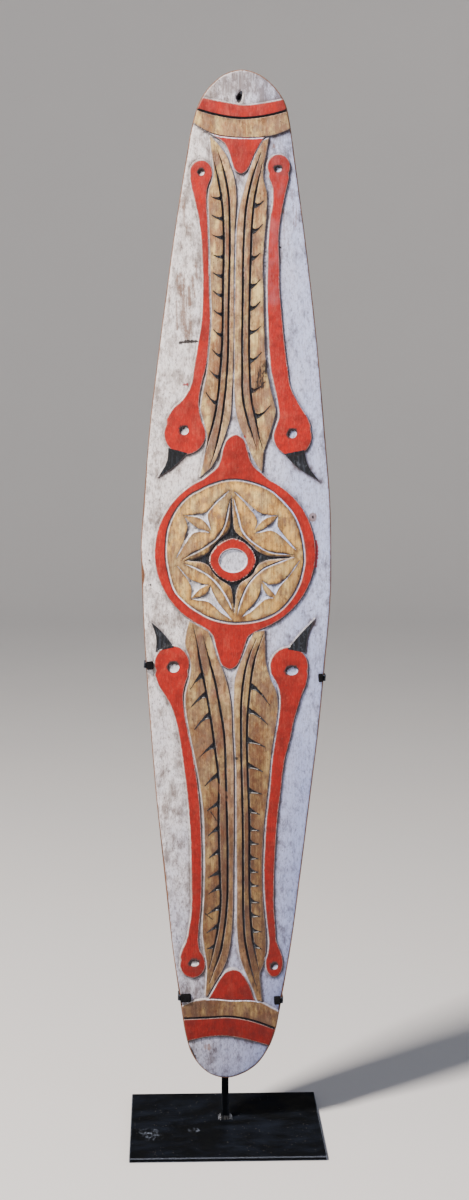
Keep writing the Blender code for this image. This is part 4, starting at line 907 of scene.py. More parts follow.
def carved_height(points, at):
    """Height above the ground in mm at places on the board's face."""
    height = FIGURE_HEIGHT * wall_rise(at.tall)
    height = np.maximum(height, TONGUE_HEIGHT * wall_rise(at.tongues))
    height = np.maximum(height, BEAK_HEIGHT * wall_rise(at.beaks))
    slope = np.clip(at.bevel, 0, None) / np.maximum(at.bevel + np.clip(-at.star, 0, None), LEAST_BEVEL)
    height -= BEVEL_DEPTH * np.clip(slope, 0, 1) * (at.star_ring < 0)
    for depth, share in (
        (GROOVE_DEPTH, np.maximum(at.grooves, at.band_grooves) / GROOVE_HALF_WIDTH),
        (FINE_LINE_DEPTH, at.margins / FINE_HALF_WIDTH), (GROOVE_DEPTH, at.rim_groove / RIM_HALF_WIDTH),
        (SEAM_DEPTH, at.dark_seam / SEAM_HALF_WIDTH),
    ):
        height -= depth * np.clip(share, 0, 1)
    for depth, inside, wall in (
        (NOTCH_DEPTH, at.notches, NOTCH_WALL), (STAR_DEPTH - BEVEL_DEPTH, at.arms, STAR_WALL),
        (EYE_DEPTH, at.star_eye, STAR_EYE_WALL), (EYE_DEPTH, at.eyes, EYE_WALL),
        (SLIT_DEPTH, at.slit, SLIT_WALL),
    ):
        height -= depth * sunk(inside, wall)
    height -= np.minimum(HOLLOW_DEPTH, CHIP_SLOPE * np.maximum(at.hollows + CHIP_START, 0))
    for depth, size, way in TOOL_WAVES:
        height -= depth * (1 + slow_waves(points[:, ::way], size))
    return height - EDGE_FALL * (1 - np.clip(at.board / EDGE_ROUNDING, 0, 1)) ** 2


def paint_reaches(points, at):
    """How far inside each paint's edge the places lie, and the shares of painted shade, of soil with painted
    shade, and of the painted highlight rims there.
    """
    shades = [share + getattr(at, name) / fade for name, share, fade in CUT_SHADES]
    shades.append(BEVEL_SHADE * np.clip(at.bevel, 0, 1) * (at.star_ring < 0))
    shades.append(FOOT_SHADE - at.figures / FOOT_FADE * (at.figures > 0) - FOOT_CUT * (at.figures < 0))
    # Soil with painted shade at the figures' feet, in the hollows and in the eyes
    foot_soil_and_shade = np.clip(1 + (at.figures + WALL_RUN) / SOIL_AND_SHADE_FADE, 0, 1) * (at.figures < SOIL_AND_SHADE_EDGE)
    hollow_soil_and_shade = HOLLOW_SOIL_AND_SHADE * sunk(at.hollows, HOLLOW_SOIL_AND_SHADE_WALL)
    eye_soil_and_shade = EYE_SOIL_AND_SHADE * (at.eyes > 0) + STAR_EYE_SOIL_AND_SHADE * (at.star_eye > 0)
    # Painted highlight on the lower notches' rims and round the beaks
    notch_gleam = NOTCH_GLEAM * (points[:, 1] < GLEAM_BELOW) * np.clip(at.notches + NOTCH_RIM, 0, 1)
    beak_gleam = np.clip(at.beaks + BEAK_RIM, 0, 1)
    return {
        "red_paint": np.maximum.reduce([
            at.birds, at.tongues, np.minimum(at.ring, -at.rim), np.minimum(at.star_ring, -at.star_eye),
            at.red_bands,
        ]),
        "ochre_paint": np.maximum.reduce([
            at.feathers, np.minimum(at.rim, -np.maximum(at.star_ring, at.star)), at.ochre_bands,
        ]),
        "black_paint": np.maximum.reduce([
            at.grooves + SPREAD["groove"], at.band_grooves + SPREAD["groove"], at.notches + SPREAD["notch"],
            at.beaks, at.arms + SPREAD["arm"], at.slit + SPREAD["slit"], at.dark_seam,
        ]),
        "white_line": np.maximum.reduce([
            at.hollows + SPREAD["hollow"], at.margins - FINE_HALF_WIDTH + LINE_CORE,
            at.star_eye + SPREAD["star_eye"], at.eyes + SPREAD["eye"],
            at.rim_groove - RIM_HALF_WIDTH + RIM_CORE, np.minimum(at.figures + WALL_RUN, -at.figures),
            at.pale_seam,
        ]),
        "bare_wood": EDGE_WEAR - at.board,
        "soil": np.maximum.reduce([foot_soil_and_shade, hollow_soil_and_shade, eye_soil_and_shade]),
        "shade": np.clip(np.maximum.reduce(shades), 0, 1),
        "pale_rim": np.maximum(notch_gleam, beak_gleam) * np.clip(-GLEAM_GAP - at.grooves / 2, 0, 1),
    }


def shadow_behind(points, outlines, lee, side, around=()):
    """Painted shadow away from the light: just past the outlines for side 1, just inside them for side -1.
    """
    reach, softness, strength, margin = lee
    towards_light = np.array([LIGHT_SIDE[0], LIGHT_SIDE[2]])
    behind = side * deepest(points + reach * towards_light, [*outlines, *around])
    near = side * deepest(points, outlines) < margin
    return strength * np.clip(behind / softness + 0.5, 0, 1) * near


def painted_shadow_side(points, carving):
    """Share of painted shadow below and to the right of each wall, near the hollows' upper-left walls, and
    in the upper half of the eyes.
    """
    return np.maximum.reduce([
        shadow_behind(points, carving["raised"], WALL_SHADOW, 1),
        shadow_behind(points, carving["hollows"], HOLLOW_SHADOW, -1),
        shadow_behind(points, carving["eyes"], EYE_SHADOW, -1, [carving["star_eye"]]),
    ])


def widest_line(points, lines, half_width, taper):
    """How far inside the nearest of several tapering grooves each point lies."""
    left = np.full(len(points), -REACH)
    for line in lines:
        left = np.maximum(left, half_width_left(points, line, half_width, taper))
    return left


def marks(points):
    """Strength of each kind of mark at places on the board's face."""
    found = {name: np.zeros(len(points)) for name in MARK_NAMES}
    for name, line, half_width, strength in MARKS:
        line = as_array(line)
        near = near_shape(points, line, 2 * half_width + 1)
        gap, _ = line_distance(points[near], line)
        value = strength * smooth_step(MARK_FADE - gap / half_width)
        found[name][near] = np.maximum(found[name][near], value)
    return found


def front_drop(points):
    """How far the crowned front lies behind its highest line, in mm."""
    half_width = max(row[2] for row in BOARD_ROWS)
    half_length = BOARD_LENGTH / 2
    sideways = SIDE_DROP * (points[:, 0] / half_width) ** 2
    return sideways + END_DROP * np.abs(points[:, 1] / half_length - 1) ** 3


def face_rows(carving):
    """Rows of points that follow every wall and groove, so the mesh turns where the carving does."""
    closed_rows = [(outline, ROW_SPACING, (0.0, -WALL_RUN, ROUNDING)) for outline in carving["raised"]]
    closed_rows.append((carving["rim"], ROW_SPACING, [share * RIM_HALF_WIDTH for share in V_SHARES]))
    closed_rows += [(carving[name], ROW_SPACING, RING_OFFSETS) for name in ("star_ring", "star_eye")]
    closed_rows += [
        (outline, CUT_SPACING, CUT_OFFSETS)
        for outline in [carving["star"], *carving["hollows"], *carving["eyes"], *carving["notches"]]
    ]
    closed_rows.append((carving["slit"], CUT_SPACING, (0.0,)))
    grooves = (*carving["feather_grooves"], *carving["band_grooves"], *carving["margins"])
    open_rows = [(line, ROW_SPACING, [share * GROOVE_HALF_WIDTH for share in V_SHARES]) for line in grooves]
    open_rows += [
        (as_array(line), CUT_SPACING, (0.0, -half_width, half_width))
        for _, line, half_width, _ in MARKS if half_width < WIDE_MARK
    ]
    rows = []
    for lines, closed in ((closed_rows, True), (open_rows, False)):
        for line, spacing, offsets in lines:
            line = spaced(line, spacing, closed)
            rows += [beside(line, offset, closed) for offset in offsets]
    return np.vstack(rows)


def thinned(points, least_gap):
    """The points, less those that come closer than the least gap to one already kept."""
    kept = {}
    chosen = []
    for index, (across, up) in enumerate(points):
        column, row = int(across // least_gap), int(up // least_gap)
        around = [(column + i, row + j) for i in (-1, 0, 1) for j in (-1, 0, 1)]
        others = [kept[cell] for cell in around if cell in kept]
        if all((across - x) ** 2 + (up - y) ** 2 >= least_gap ** 2 for x, y in others):
            kept[(column, row)] = (across, up)
            chosen.append(index)
    return points[chosen]


def grid_points(outline, spacing):
    """Points of an even triangular grid over the board, each row shifted by half a step."""
    low, high = outline.min(0), outline.max(0)
    rows = np.arange(low[1], high[1], spacing * math.sqrt(3) / 2)
    found = []
    for index, up in enumerate(rows):
        across = np.arange(low[0] + (index % 2) * spacing / 2, high[0], spacing)
        found.append(np.column_stack([across, np.full(len(across), up)]))
    return np.vstack(found)


def clear_of(points, others, gap):
    """The points that keep at least this gap to all the others."""
    tree = kdtree.KDTree(len(others))
    for index, place in enumerate(others):
        tree.insert((place[0], place[1], 0), index)
    tree.balance()
    far = [tree.find((place[0], place[1], 0))[2] >= gap for place in points]
    return points[np.array(far)]


def mesh_inside(outline, inner):
    """Triangles that fill an outline and use the inner points; the outline's points come first."""
    points = [Vector(place) for place in np.vstack([outline, inner])]
    loop = list(range(len(outline)))
    done = geometry.delaunay_2d_cdt(points, [], [loop], 1, 1e-5, False)
    return as_array(done[0]), [tuple(face) for face in done[2]]


def to_world(points, height):
    """Places on the board's grid and their height above its ground, as points in metres."""
    cosine, sine = math.cos(BOARD_LEAN), math.sin(BOARD_LEAN)
    across, up = points[:, 0] * MM, points[:, 1] * MM
    return np.column_stack([
        BOARD_FOOT.x + across * cosine + up * sine,
        BOARD_FOOT.y - height * MM,
        BOARD_FOOT.z - across * sine + up * cosine,
    ])


def to_grid(places):
    """The board's grid place and height of points in metres."""
    cosine, sine = math.cos(BOARD_LEAN), math.sin(BOARD_LEAN)
    x, z = (places[:, 0] - BOARD_FOOT.x) / MM, (places[:, 2] - BOARD_FOOT.z) / MM
    points = np.column_stack([x * cosine - z * sine, x * sine + z * cosine])
    return points, -(places[:, 1] - BOARD_FOOT.y) / MM


def board_mesh(carving):
    """The closed mesh of the board: carved face, sides with a chamfer, and a flat, hewn back."""
    edge = spaced(carving["board"], EDGE_SPACING, closed=True)
    count = len(edge)
    rows = face_rows(carving)
    rows = rows[depth_inside(rows, carving["board"]) > ROW_MARGIN]
    rims = [beside(edge, inset, closed=True) for inset in RIM_INSETS]
    rows = thinned(np.vstack([*rims, rows]), LEAST_GAP)
    field = grid_points(edge, FIELD_SPACING)
    field = field[depth_inside(field, carving["board"]) > FIELD_MARGIN]
    field = clear_of(field, rows, FIELD_GAP)
    points, faces = mesh_inside(edge, np.vstack([rows, field]))
    level = carved_height(points, distances(points, carving)) - front_drop(points)
    places = [to_world(points, level)]
    faces = [turned_out(face, points, 1) for face in faces]

    front, start = list(range(count)), len(points)
    chamfer_start = -BOARD_THICKNESS + BACK_CHAMFER
    for side_level in (
        level[:count] - SIDE_STEP, (level[:count] + chamfer_start) / 2, np.full(count, chamfer_start),
    ):
        places.append(to_world(edge, side_level))
        ring = list(range(start, start + count))
        faces += side_faces(front, ring)
        front, start = ring, start + count

    back_edge = beside(edge, BACK_CHAMFER, closed=True)
    back_field = grid_points(back_edge, BACK_SPACING)
    back_field = back_field[depth_inside(back_field, back_edge) > BACK_MARGIN]
    back_points, back_faces = mesh_inside(back_edge, back_field)
    hewn = -BOARD_THICKNESS + HEWN_DEPTH * (1 + slow_waves(back_points, HEWN_SIZE)) / 2
    hewn[:count] = -BOARD_THICKNESS
    places.append(to_world(back_points, hewn))
    faces += side_faces(front, list(range(start, start + count)))
    faces += [
        tuple(start + corner for corner in turned_out(face, back_points, -1)) for face in back_faces
    ]
    mesh = bpy.data.meshes.new("shield_board_carved")
    mesh.from_pydata(np.vstack(places).tolist(), [], faces)
    mesh.validate()
    return mesh


def turned_out(face, points, side):
    """A face's corners in the order that makes it look forwards for side 1, and backwards for side -1."""
    a, b, c = (points[corner] for corner in face[:3])
    turn = (b[0] - a[0]) * (c[1] - a[1]) - (b[1] - a[1]) * (c[0] - a[0])
    return tuple(face) if turn * side > 0 else tuple(reversed(face))


def side_faces(front, back):
    """Quads between two closed rows with the same number of points."""
    following = front[1:] + front[:1]
    following_back = back[1:] + back[:1]
    return [(a, c, d, b) for a, b, c, d in zip(front, following, back, following_back)]


def colour(code):
    """Linear RGB of a colour that is given as sRGB hex."""
    values = [int(code[start:start + 2], 16) / 255 for start in (1, 3, 5)]
    return tuple(v / 12.92 if v <= 0.04045 else ((v + 0.055) / 1.055) ** 2.4 for v in values)


def add_node(tree, kind, settings=None, **links):
    """A new node with its own settings; each link gives a socket, by name or number, a value or a source."""
    node = tree.nodes.new(kind)
    for name, value in (settings or {}).items():
        setattr(node, name, value)
    for name, source in links.items():
        key = int(name[1:]) if name[0] == "i" and name[1:].isdigit() else name.replace("_", " ").title()
        socket = node.inputs[key]
        if isinstance(source, bpy.types.NodeSocket):
            tree.links.new(source, socket)
        elif socket.type == "RGBA":
            socket.default_value = (*source[:3], 1)
        else:
            socket.default_value = source
    return node


def new_material(name):
    """An empty node material with its shader, its tree and the socket of its object coordinates."""
    material = bpy.data.materials.new(name)
    material.use_nodes = True
    tree = material.node_tree
    shader = tree.nodes["Principled BSDF"]
    place = add_node(tree, "ShaderNodeTexCoord").outputs["Object"]
    return material, tree, shader, place


def noise_at(tree, place, stretch, detail, roughness):
    """Noise whose size along each axis is one part in the stretch of a metre; its output is near 0 to 1."""
    spread = add_node(tree, "ShaderNodeMapping", i0=place, i3=stretch).outputs[0]
    noise = add_node(tree, "ShaderNodeTexNoise", i0=spread, Scale=1.0, Detail=detail, Roughness=roughness)
    return noise.outputs[0]


def sum_of(tree, first, second, factor=1.0):
    """First plus factor times second."""
    settings = {"operation": "MULTIPLY_ADD"}
    return add_node(tree, "ShaderNodeMath", settings, i0=second, i1=factor, i2=first).outputs[0]


def weighted(tree, *terms):
    """Sum of values, each one times its own weight."""
    total = 0.0
    for value, weight in terms:
        total = sum_of(tree, total, value, weight)
    return total


def share_of(tree, value, low, high, top=1.0):
    """Share of the way from low to high, kept between 0 and top."""
    return add_node(tree, "ShaderNodeMapRange", i0=value, i1=low, i2=high, i3=0.0, i4=top).outputs[0]


def product(tree, first, second):
    """First times second."""
    return add_node(tree, "ShaderNodeMath", {"operation": "MULTIPLY"}, i0=first, i1=second).outputs[0]


def dot_of(tree, first, second):
    """How far two directions agree."""
    settings = {"operation": "DOT_PRODUCT"}
    return add_node(tree, "ShaderNodeVectorMath", settings, i0=first, i1=second).outputs["Value"]


def laid_over(tree, share, under, over):
    """The colour over, laid on the colour under by a share."""
    mix = add_node(tree, "ShaderNodeMix", {"data_type": "RGBA"}, i0=share, i6=under, i7=over)
    return mix.outputs[2]


def tinted(tree, share, under, tint):
    """The colour under, seen through a tint by a share."""
    settings = {"data_type": "RGBA", "blend_type": "MULTIPLY"}
    return add_node(tree, "ShaderNodeMix", settings, i0=share, i6=under, i7=tint).outputs[2]


def blend_of(tree, share, low, high):
    """A value between low and high."""
    return add_node(tree, "ShaderNodeMix", i0=share, i2=low, i3=high).outputs[0]


def field(tree, name):
    """The value that the mesh carries at each point under a name."""
    return add_node(tree, "ShaderNodeAttribute", {"attribute_name": name}).outputs["Fac"]


def coated(tree, fields, base, coats):
    """A colour with coats laid over it in turn, each as far as its own field and the others let it."""
    for name, low, high, most, code, *others in coats:
        share = share_of(tree, fields[name], low, high, most)
        for other in others:
            share = product(tree, fields[other], share)
        base = laid_over(tree, share, base, colour(code))
    return base


def finish_shader(tree, shader, face, rough, bump, specular):
    """Plugs colour, roughness and bump into a shader; a bump is its strength, distance and height."""
    strength, distance, height = bump
    normal = add_node(tree, "ShaderNodeBump", Strength=strength, Distance=distance, Height=height).outputs[0]
    for socket, source in (("Base Color", face), ("Roughness", rough), ("Normal", normal)):
        if isinstance(source, bpy.types.NodeSocket):
            tree.links.new(source, shader.inputs[socket])
        else:
            shader.inputs[socket].default_value = source
    shader.inputs["Specular IOR Level"].default_value = specular


# Scuffs on the plate's top: place, how far each reaches, and strength
SCUFF_MARKS = (
    ((-109 * MM, -26 * MM, 6 * MM), 15 * MM, 0.85), ((-104 * MM, -46 * MM, 6 * MM), 17 * MM, 0.5),
    ((-43 * MM, -22 * MM, 6 * MM), 12 * MM, 0.5),
)

# Tones of ochre by the part of the carving: share of the way, and colour as painted
OCHRE_TONES = (
    (0.0, "#b28b63"), (0.25, "#9a7a66"), (0.5, "#e6c193"), (0.75, "#ffcb6e"), (1.0, "#a98a72"),
)

# Noises: parts to the metre along each axis, detail and roughness
WOOD_NOISES = {
    "ragged": ((420, 420, 300), 3, 0.6), "uneven": ((90, 90, 60), 3, 0.6),
    "flecks": ((260, 260, 150), 8, 0.72), "streaks": ((420, 420, 24), 5, 0.6),
    "broad": ((150, 150, 14), 4, 0.6),
    "fibres": ((1500, 1500, 120), 4, 0.6), "cloud": ((17, 17, 9), 5, 0.6), "mottle": ((70, 70, 42), 7, 0.7),
    "dabs": ((48, 48, 62), 5, 0.55), "strokes": ((62, 62, 30), 6, 0.62),
    "grains": ((1400, 1400, 1400), 2, 0.6), "grit": ((480, 480, 170), 3, 0.65),
}
STEEL_NOISES = (
    ((900, 900, 900), 4, 0.6), ((28, 28, 28), 6, 0.62), ((22, 40, 40), 5, 0.6), ((160, 70, 160), 5, 0.7),
)

# Coats of each colour in turn: what breaks it up, where it starts and is full, most, colour, other limits
WHITE_COATS = (
    ("dabs", 0.49, 0.60, 0.6, "#fdfcff"), ("grit", 0.52, 0.64, 0.7, "#fdfcff"),
    ("dirt", 0.52, 0.64, 0.85, "#7f7068"), ("grit", 0.48, 0.36, 0.55, "#766b69", "dusty"),
    ("streaks", 0.52, 0.64, 0.3, "#ffffff"), ("flecks", 0.54, 0.64, 0.65, "#5f524f", "dusty"),
)
RED_COATS = (
    ("dabs", 0.49, 0.62, 0.65, "#84160d"), ("mottle", 0.38, 0.56, 0.5, "#983a3c", "upper"),
    ("mottle", 0.53, 0.66, 0.55, "#cb4f3c"), ("cloud", 0.50, 0.64, 0.5, "#5e1712"),
    ("grit", 0.52, 0.66, 0.15, "#e0705c"), ("flecks", 0.46, 0.60, 0.55, "#8c2018"),
    ("mottle", 0.34, 0.56, 0.5, "#b4585e", "faded"),
)
OCHRE_COATS = (
    ("strokes", 0.46, 0.58, 0.75, "#ffe294"), ("dabs", 0.51, 0.61, 0.35, "#a8603c"),
    ("glaze", 0.48, 0.59, 0.75, "#84502f"), ("greyed", 0.98, 1.12, 0.6, "#82695a"),
    ("grit", 0.52, 0.66, 0.2, "#f0d9a6"), ("streaks", 0.46, 0.64, 0.4, "#6e4f38"),
    ("flecks", 0.55, 0.65, 0.6, "#4a3529"),
)
BLACK_COATS = (("streaks", 0.50, 0.66, 0.6, "#3c424e"), ("flecks", 0.54, 0.68, 0.6, "#5c626e"))
CHALK_COATS = (("flecks", 0.50, 0.64, 0.7, "#8c8482"), ("grit", 0.48, 0.38, 0.5, "#8f8f9a"))
WOOD_COATS = (("streaks", 0.3, 0.75, 1.0, "#a1745a"), ("cloud", 0.4, 0.75, 0.5, "#3b281f"))

# Painted light: a cool tint to the right; painted shade low on the board: where each starts and is full by
# height, and colour
COOL_LIGHT_TINT = "#ccdaff"
LOW_SHADE_TINTS = {
    "white": (0.73, 0.25, "#a1a9c6"), "red": (0.80, 0.28, "#a58a8a"), "ochre": (0.86, 0.46, "#a39893"),
}

# Paints in the order in which they lie: roughness, share that has worn off, and share of rubbed rims and of
# painted highlight where their walls face the light
PAINT_LAYERS = (
    ("red_paint", 0.66, 0.5, 0.5), ("ochre_paint", 0.72, 0.4, 0.35), ("black_paint", 0.6, 0.3, 0.0),
    ("white_line", 0.8, 0.0, 0.0),
)
MARK_PAINTS = (("brown_mark", "#7d5a45", 0.72), ("dark_mark", "#1f1a1b", 0.95), ("red_mark", "#8e2226", 0.9))
GROUND_ROUGHNESS = 0.82
BARE_ROUGHNESS = 0.7
PAINT_SOFTNESS = 0.22
EDGE_RAGGED = 1.4
EDGE_SHIFT = 0.8


def wood_fields(tree, place):
    """What breaks up the paints on the wood: noises, mixtures of them, and values that the mesh carries."""
    fields = {name: noise_at(tree, place, *noise) for name, noise in WOOD_NOISES.items()}
    across, _, up = add_node(tree, "ShaderNodeSeparateXYZ", i0=place).outputs
    cloud, mottle, ragged, uneven = (fields[name] for name in ("cloud", "mottle", "ragged", "uneven"))
    # Painted light: a cool tint that grows towards the right, and a height value that sets painted shade
    # lower down and to the right
    cool = share_of(tree, sum_of(tree, across, cloud, 0.1), 0.01, 0.15)
    top_end = share_of(tree, up, 1.36, 1.45)
    fields["height"] = weighted(tree, (up, 0.62), (across, -0.4), (cloud, 0.5))
    fields["cool"] = cool
    fields["dusty"] = sum_of(tree, 1.0, cool, -0.35)
    fields["dirt"] = weighted(
        tree, (mottle, 0.7), (fields["streaks"], 0.12), (cloud, 0.28), (cool, -0.035), (top_end, 0.11),
    )
    fields["upper"] = share_of(tree, up, 0.92, 1.15)
    fields["glaze"] = weighted(tree, (mottle, 0.6), (fields["broad"], 0.4))
    fields["greyed"] = sum_of(tree, uneven, cloud)
    stained = weighted(tree, (fields["streaks"], 1.1), (ragged, 0.5), (mottle, 0.45))
    fields["stained"] = sum_of(tree, -0.95, stained)
    for name in ("faded", "shade", "soil", "lee", "pale_rim", "bare_wood"):
        fields[name] = field(tree, name)
    return fields


def ramp_of(tree, source, tones):
    """A colour that changes with a value by tones at their shares of the way."""
    ramp = add_node(tree, "ShaderNodeValToRGB", i0=source)
    spots = ramp.color_ramp.elements
    for index, (share, code) in enumerate(tones):
        spot = spots[index] if index < len(spots) else spots.new(share)
        spot.position, spot.color = share, (*colour(code), 1)
    return ramp.outputs[0]


def pigments(tree, fields, sizes):
    """The board's white ground, its red, ochre, black and chalk, and its bare wood, each with its coats."""
    white = coated(tree, fields, sizes.white_paint, WHITE_COATS)
    # Painted light: the white takes a cool tint towards the right
    white = tinted(tree, fields["cool"], white, colour(COOL_LIGHT_TINT))
    tones = ramp_of(tree, field(tree, "ochre_tone"), OCHRE_TONES)

    # Painted light and shade: higher and further left stays warmer and brighter, lower and further right is
    # cooler and darker
    low = {}
    for name, paint in (
        ("white", white), ("red", coated(tree, fields, sizes.red_paint, RED_COATS)),
        ("ochre", coated(tree, fields, tones, OCHRE_COATS)),
    ):
        start, full, code = LOW_SHADE_TINTS[name]
        low[name] = tinted(tree, share_of(tree, fields["height"], start, full), paint, colour(code))
    speckled = sum_of(tree, fields["flecks"], fields["uneven"], 0.6)
    shade = product(tree, fields["shade"], share_of(tree, speckled, 0.58, 0.90, 0.92))
    ochre = laid_over(tree, shade, low["ochre"], colour("#4f3427"))
    red = laid_over(tree, product(tree, shade, 0.5), low["red"], colour("#5e201a"))
    black = coated(tree, fields, sizes.black_paint, BLACK_COATS)
    chalk = coated(tree, fields, colour("#f8f8ff"), CHALK_COATS)
    # Painted light: the chalk takes the same cool tint towards the right
    chalk = tinted(tree, fields["cool"], chalk, colour(COOL_LIGHT_TINT))
    wood = coated(tree, fields, colour("#5a3b2b"), WOOD_COATS)
    paints = {"red_paint": red, "ochre_paint": ochre, "black_paint": black, "white_line": chalk}
    return low["white"], paints, wood


def with_soil_shadow_and_marks(tree, fields, face):
    """A colour under soil with painted shade in the cuts, painted shadow below and to the right of the
    walls, and the marks of age.
    """
    mottle, ragged = fields["mottle"], fields["ragged"]
    # Soil with painted shade, then painted shadow on the side away from the light
    for name, breaking, low, high, most, code in (
        ("soil", sum_of(tree, mottle, ragged, 0.4), 0.42, 0.85, 0.8, "#5d504c"),
        ("lee", sum_of(tree, ragged, mottle), 0.60, 1.06, 0.75, "#352a2b"),
    ):
        share = product(tree, fields[name], share_of(tree, breaking, low, high, most))
        face = laid_over(tree, share, face, colour(code))
    for name, code, most in MARK_PAINTS:
        strength = field(tree, name)
        amount = share_of(tree, sum_of(tree, strength, fields["stained"]), 0.32, 0.62, most)
        amount = product(tree, amount, share_of(tree, strength, 0.0, 0.25))
        face = laid_over(tree, amount, face, colour(code))
    return face


def painted_wood(sizes):
    """Earth pigments brushed on soft carved wood: chalky white ground, brick red, ochre and soot black."""
    material, tree, shader, place = new_material("earth_pigments_on_carved_wood")
    fields = wood_fields(tree, place)
    white, paints, wood = pigments(tree, fields, sizes)
    streaks, mottle, ragged = (fields[name] for name in ("streaks", "mottle", "ragged"))

    # Painted highlight on walls that face up and left, towards the light, and painted shade on those that
    # face down and right
    normal = add_node(tree, "ShaderNodeNewGeometry").outputs["Normal"]
    skyward = dot_of(tree, normal, LIGHT_SIDE)
    painted_highlight = share_of(tree, skyward, 0.16, 0.45)
    painted_shade = share_of(tree, skyward, -0.12, -0.36, 0.82)
    face = laid_over(tree, product(tree, painted_highlight, 0.9), white, colour("#fbf8fa"))

    # Each paint covers what its field says, with a ragged edge, rubbed rims, a painted highlight where its
    # walls face the light, and places where it has worn off
    edge = sum_of(tree, -EDGE_RAGGED, sum_of(tree, ragged, fields["uneven"]), EDGE_RAGGED)
    lost = share_of(tree, sum_of(tree, fields["flecks"], mottle, 0.5), 0.93, 1.0)
    rough, paint_edge = GROUND_ROUGHNESS, 0.0
    for name, roughness, wear, rubbed_and_lit in PAINT_LAYERS:
        paint = paints[name]
        reach = sum_of(tree, field(tree, name), edge, EDGE_SHIFT)
        if rubbed_and_lit:
            flecked = share_of(tree, fields["flecks"], 0.40, 0.52)
            rim = product(tree, share_of(tree, reach, 1.3, 0.2, rubbed_and_lit), flecked)
            paint = laid_over(tree, rim, paint, colour("#e3cfc6"))
            # Painted highlight where the paint's walls face the light
            paint = laid_over(tree, product(tree, painted_highlight, 0.6 * rubbed_and_lit), paint, colour("#f0dfd2"))
        elif name == "black_paint":
            # Painted highlight on the black's rims that face the light
            lit = product(tree, painted_highlight, fields["pale_rim"])
            rim = product(tree, share_of(tree, reach, 1.4, 0.7, 0.9), lit)
            paint = laid_over(tree, rim, paint, colour("#f0ece6"))
        cover = share_of(tree, reach, -PAINT_SOFTNESS, PAINT_SOFTNESS)
        cover = product(tree, cover, sum_of(tree, 1.0, product(tree, lost, wear), -1.0))
        face = laid_over(tree, cover, face, paint)
        rough = blend_of(tree, cover, rough, roughness)
        paint_edge = sum_of(tree, cover, paint_edge, 0.5)

    # Painted shade on walls that face away from the light, soil with painted shade, painted shadow and marks
    # of age; then bare wood at the board's edge, and small dark specks
    face = with_soil_shadow_and_marks(tree, fields, laid_over(tree, painted_shade, face, colour("#2a2022")))
    bare = share_of(tree, sum_of(tree, fields["bare_wood"], edge, EDGE_SHIFT), -0.3, 0.4)
    face = laid_over(tree, bare, face, wood)
    rough = blend_of(tree, bare, rough, BARE_ROUGHNESS)
    specks = add_node(tree, "ShaderNodeTexVoronoi", {"feature": "F1"}, i0=place, Scale=110.0).outputs[0]
    clustered = share_of(tree, fields["cloud"], 0.46, 0.56, 0.75)
    dots = product(tree, share_of(tree, specks, 0.10, 0.06), clustered)
    face = laid_over(tree, dots, face, colour("#352a28"))

    relief = weighted(
        tree, (streaks, 0.6), (fields["fibres"], 0.3), (mottle, 1.0), (fields["grains"], 0.12),
        (fields["dabs"], 0.8), (paint_edge, 0.12),
    )
    rough = sum_of(tree, rough, sum_of(tree, streaks, -0.5), 0.25)
    finish_shader(tree, shader, face, rough, (sizes.grain, 1.2 * MM, relief), 0.35)
    return material


def painted_steel(name, base, dust, roughness, rubbed_and_lit_edges):
    """Satin black paint on mild steel, dusted on its upper faces, rubbed at its edges and lit there with a
    painted highlight.
    """
    material, tree, shader, place = new_material(name)
    fine, patches, smears, wisps = (noise_at(tree, place, *noise) for noise in STEEL_NOISES)
    normal = add_node(tree, "ShaderNodeNewGeometry").outputs["Normal"]
    upward = share_of(tree, add_node(tree, "ShaderNodeSeparateXYZ", i0=normal).outputs[2], 0.3, 0.95)
    rounded = add_node(tree, "ShaderNodeBevel", Radius=1.6 * MM).outputs[0]
    edges = share_of(tree, dot_of(tree, rounded, normal), 0.985, 0.88)
    rubbed_and_lit = product(tree, edges, share_of(tree, fine, 0.34, 0.5))
    face = laid_over(tree, share_of(tree, patches, 0.4, 0.7, 0.5), colour(base), colour("#080b12"))
    film = share_of(tree, sum_of(tree, smears, patches, 0.6), 0.72, 1.05, dust)
    film = product(tree, upward, film)
    face = laid_over(tree, film, face, colour("#2b3240"))
    motes = add_node(tree, "ShaderNodeTexVoronoi", i0=place, Scale=170.0).outputs[0]
    spots = product(tree, share_of(tree, motes, 0.11, 0.07), share_of(tree, patches, 0.50, 0.56, 0.35))
    face = laid_over(tree, product(tree, spots, upward), face, colour("#b3afa6"))
    for spot, reach, most in SCUFF_MARKS:
        settings = {"operation": "DISTANCE"}
        away = add_node(tree, "ShaderNodeVectorMath", settings, i0=place, i1=spot).outputs["Value"]
        broken = share_of(tree, wisps, 0.50, 0.62, most)
        near = product(tree, share_of(tree, away, reach, 0.3 * reach), broken)
        face = laid_over(tree, product(tree, near, upward), face, colour("#8f9bb0"))
    # Rubbed paint and a painted highlight along the edges
    face = laid_over(tree, product(tree, rubbed_and_lit, rubbed_and_lit_edges), face, colour("#98a2b6"))
    rough = sum_of(tree, roughness, sum_of(tree, film, sum_of(tree, patches, -0.5), 0.35))
    finish_shader(tree, shader, face, rough, (0.25, 0.12 * MM, sum_of(tree, fine, patches)), 0.03)
    return material


def black_rubber():
    """Matt cured rubber tubing, slightly grey where it has been handled."""
    material, tree, shader, place = new_material("cured_rubber_tubing")
    fine = noise_at(tree, place, (1100, 1100, 1100), 4, 0.6)
    bloom = noise_at(tree, place, (240, 240, 240), 4, 0.6)
    face = laid_over(tree, share_of(tree, bloom, 0.42, 0.7, 0.7), colour("#0b0b0d"), colour("#1c1c20"))
    rough = share_of(tree, bloom, -2.4, 1.0)
    finish_shader(tree, shader, face, rough, (0.3, 0.1 * MM, sum_of(tree, fine, bloom)), 0.12)
    return material


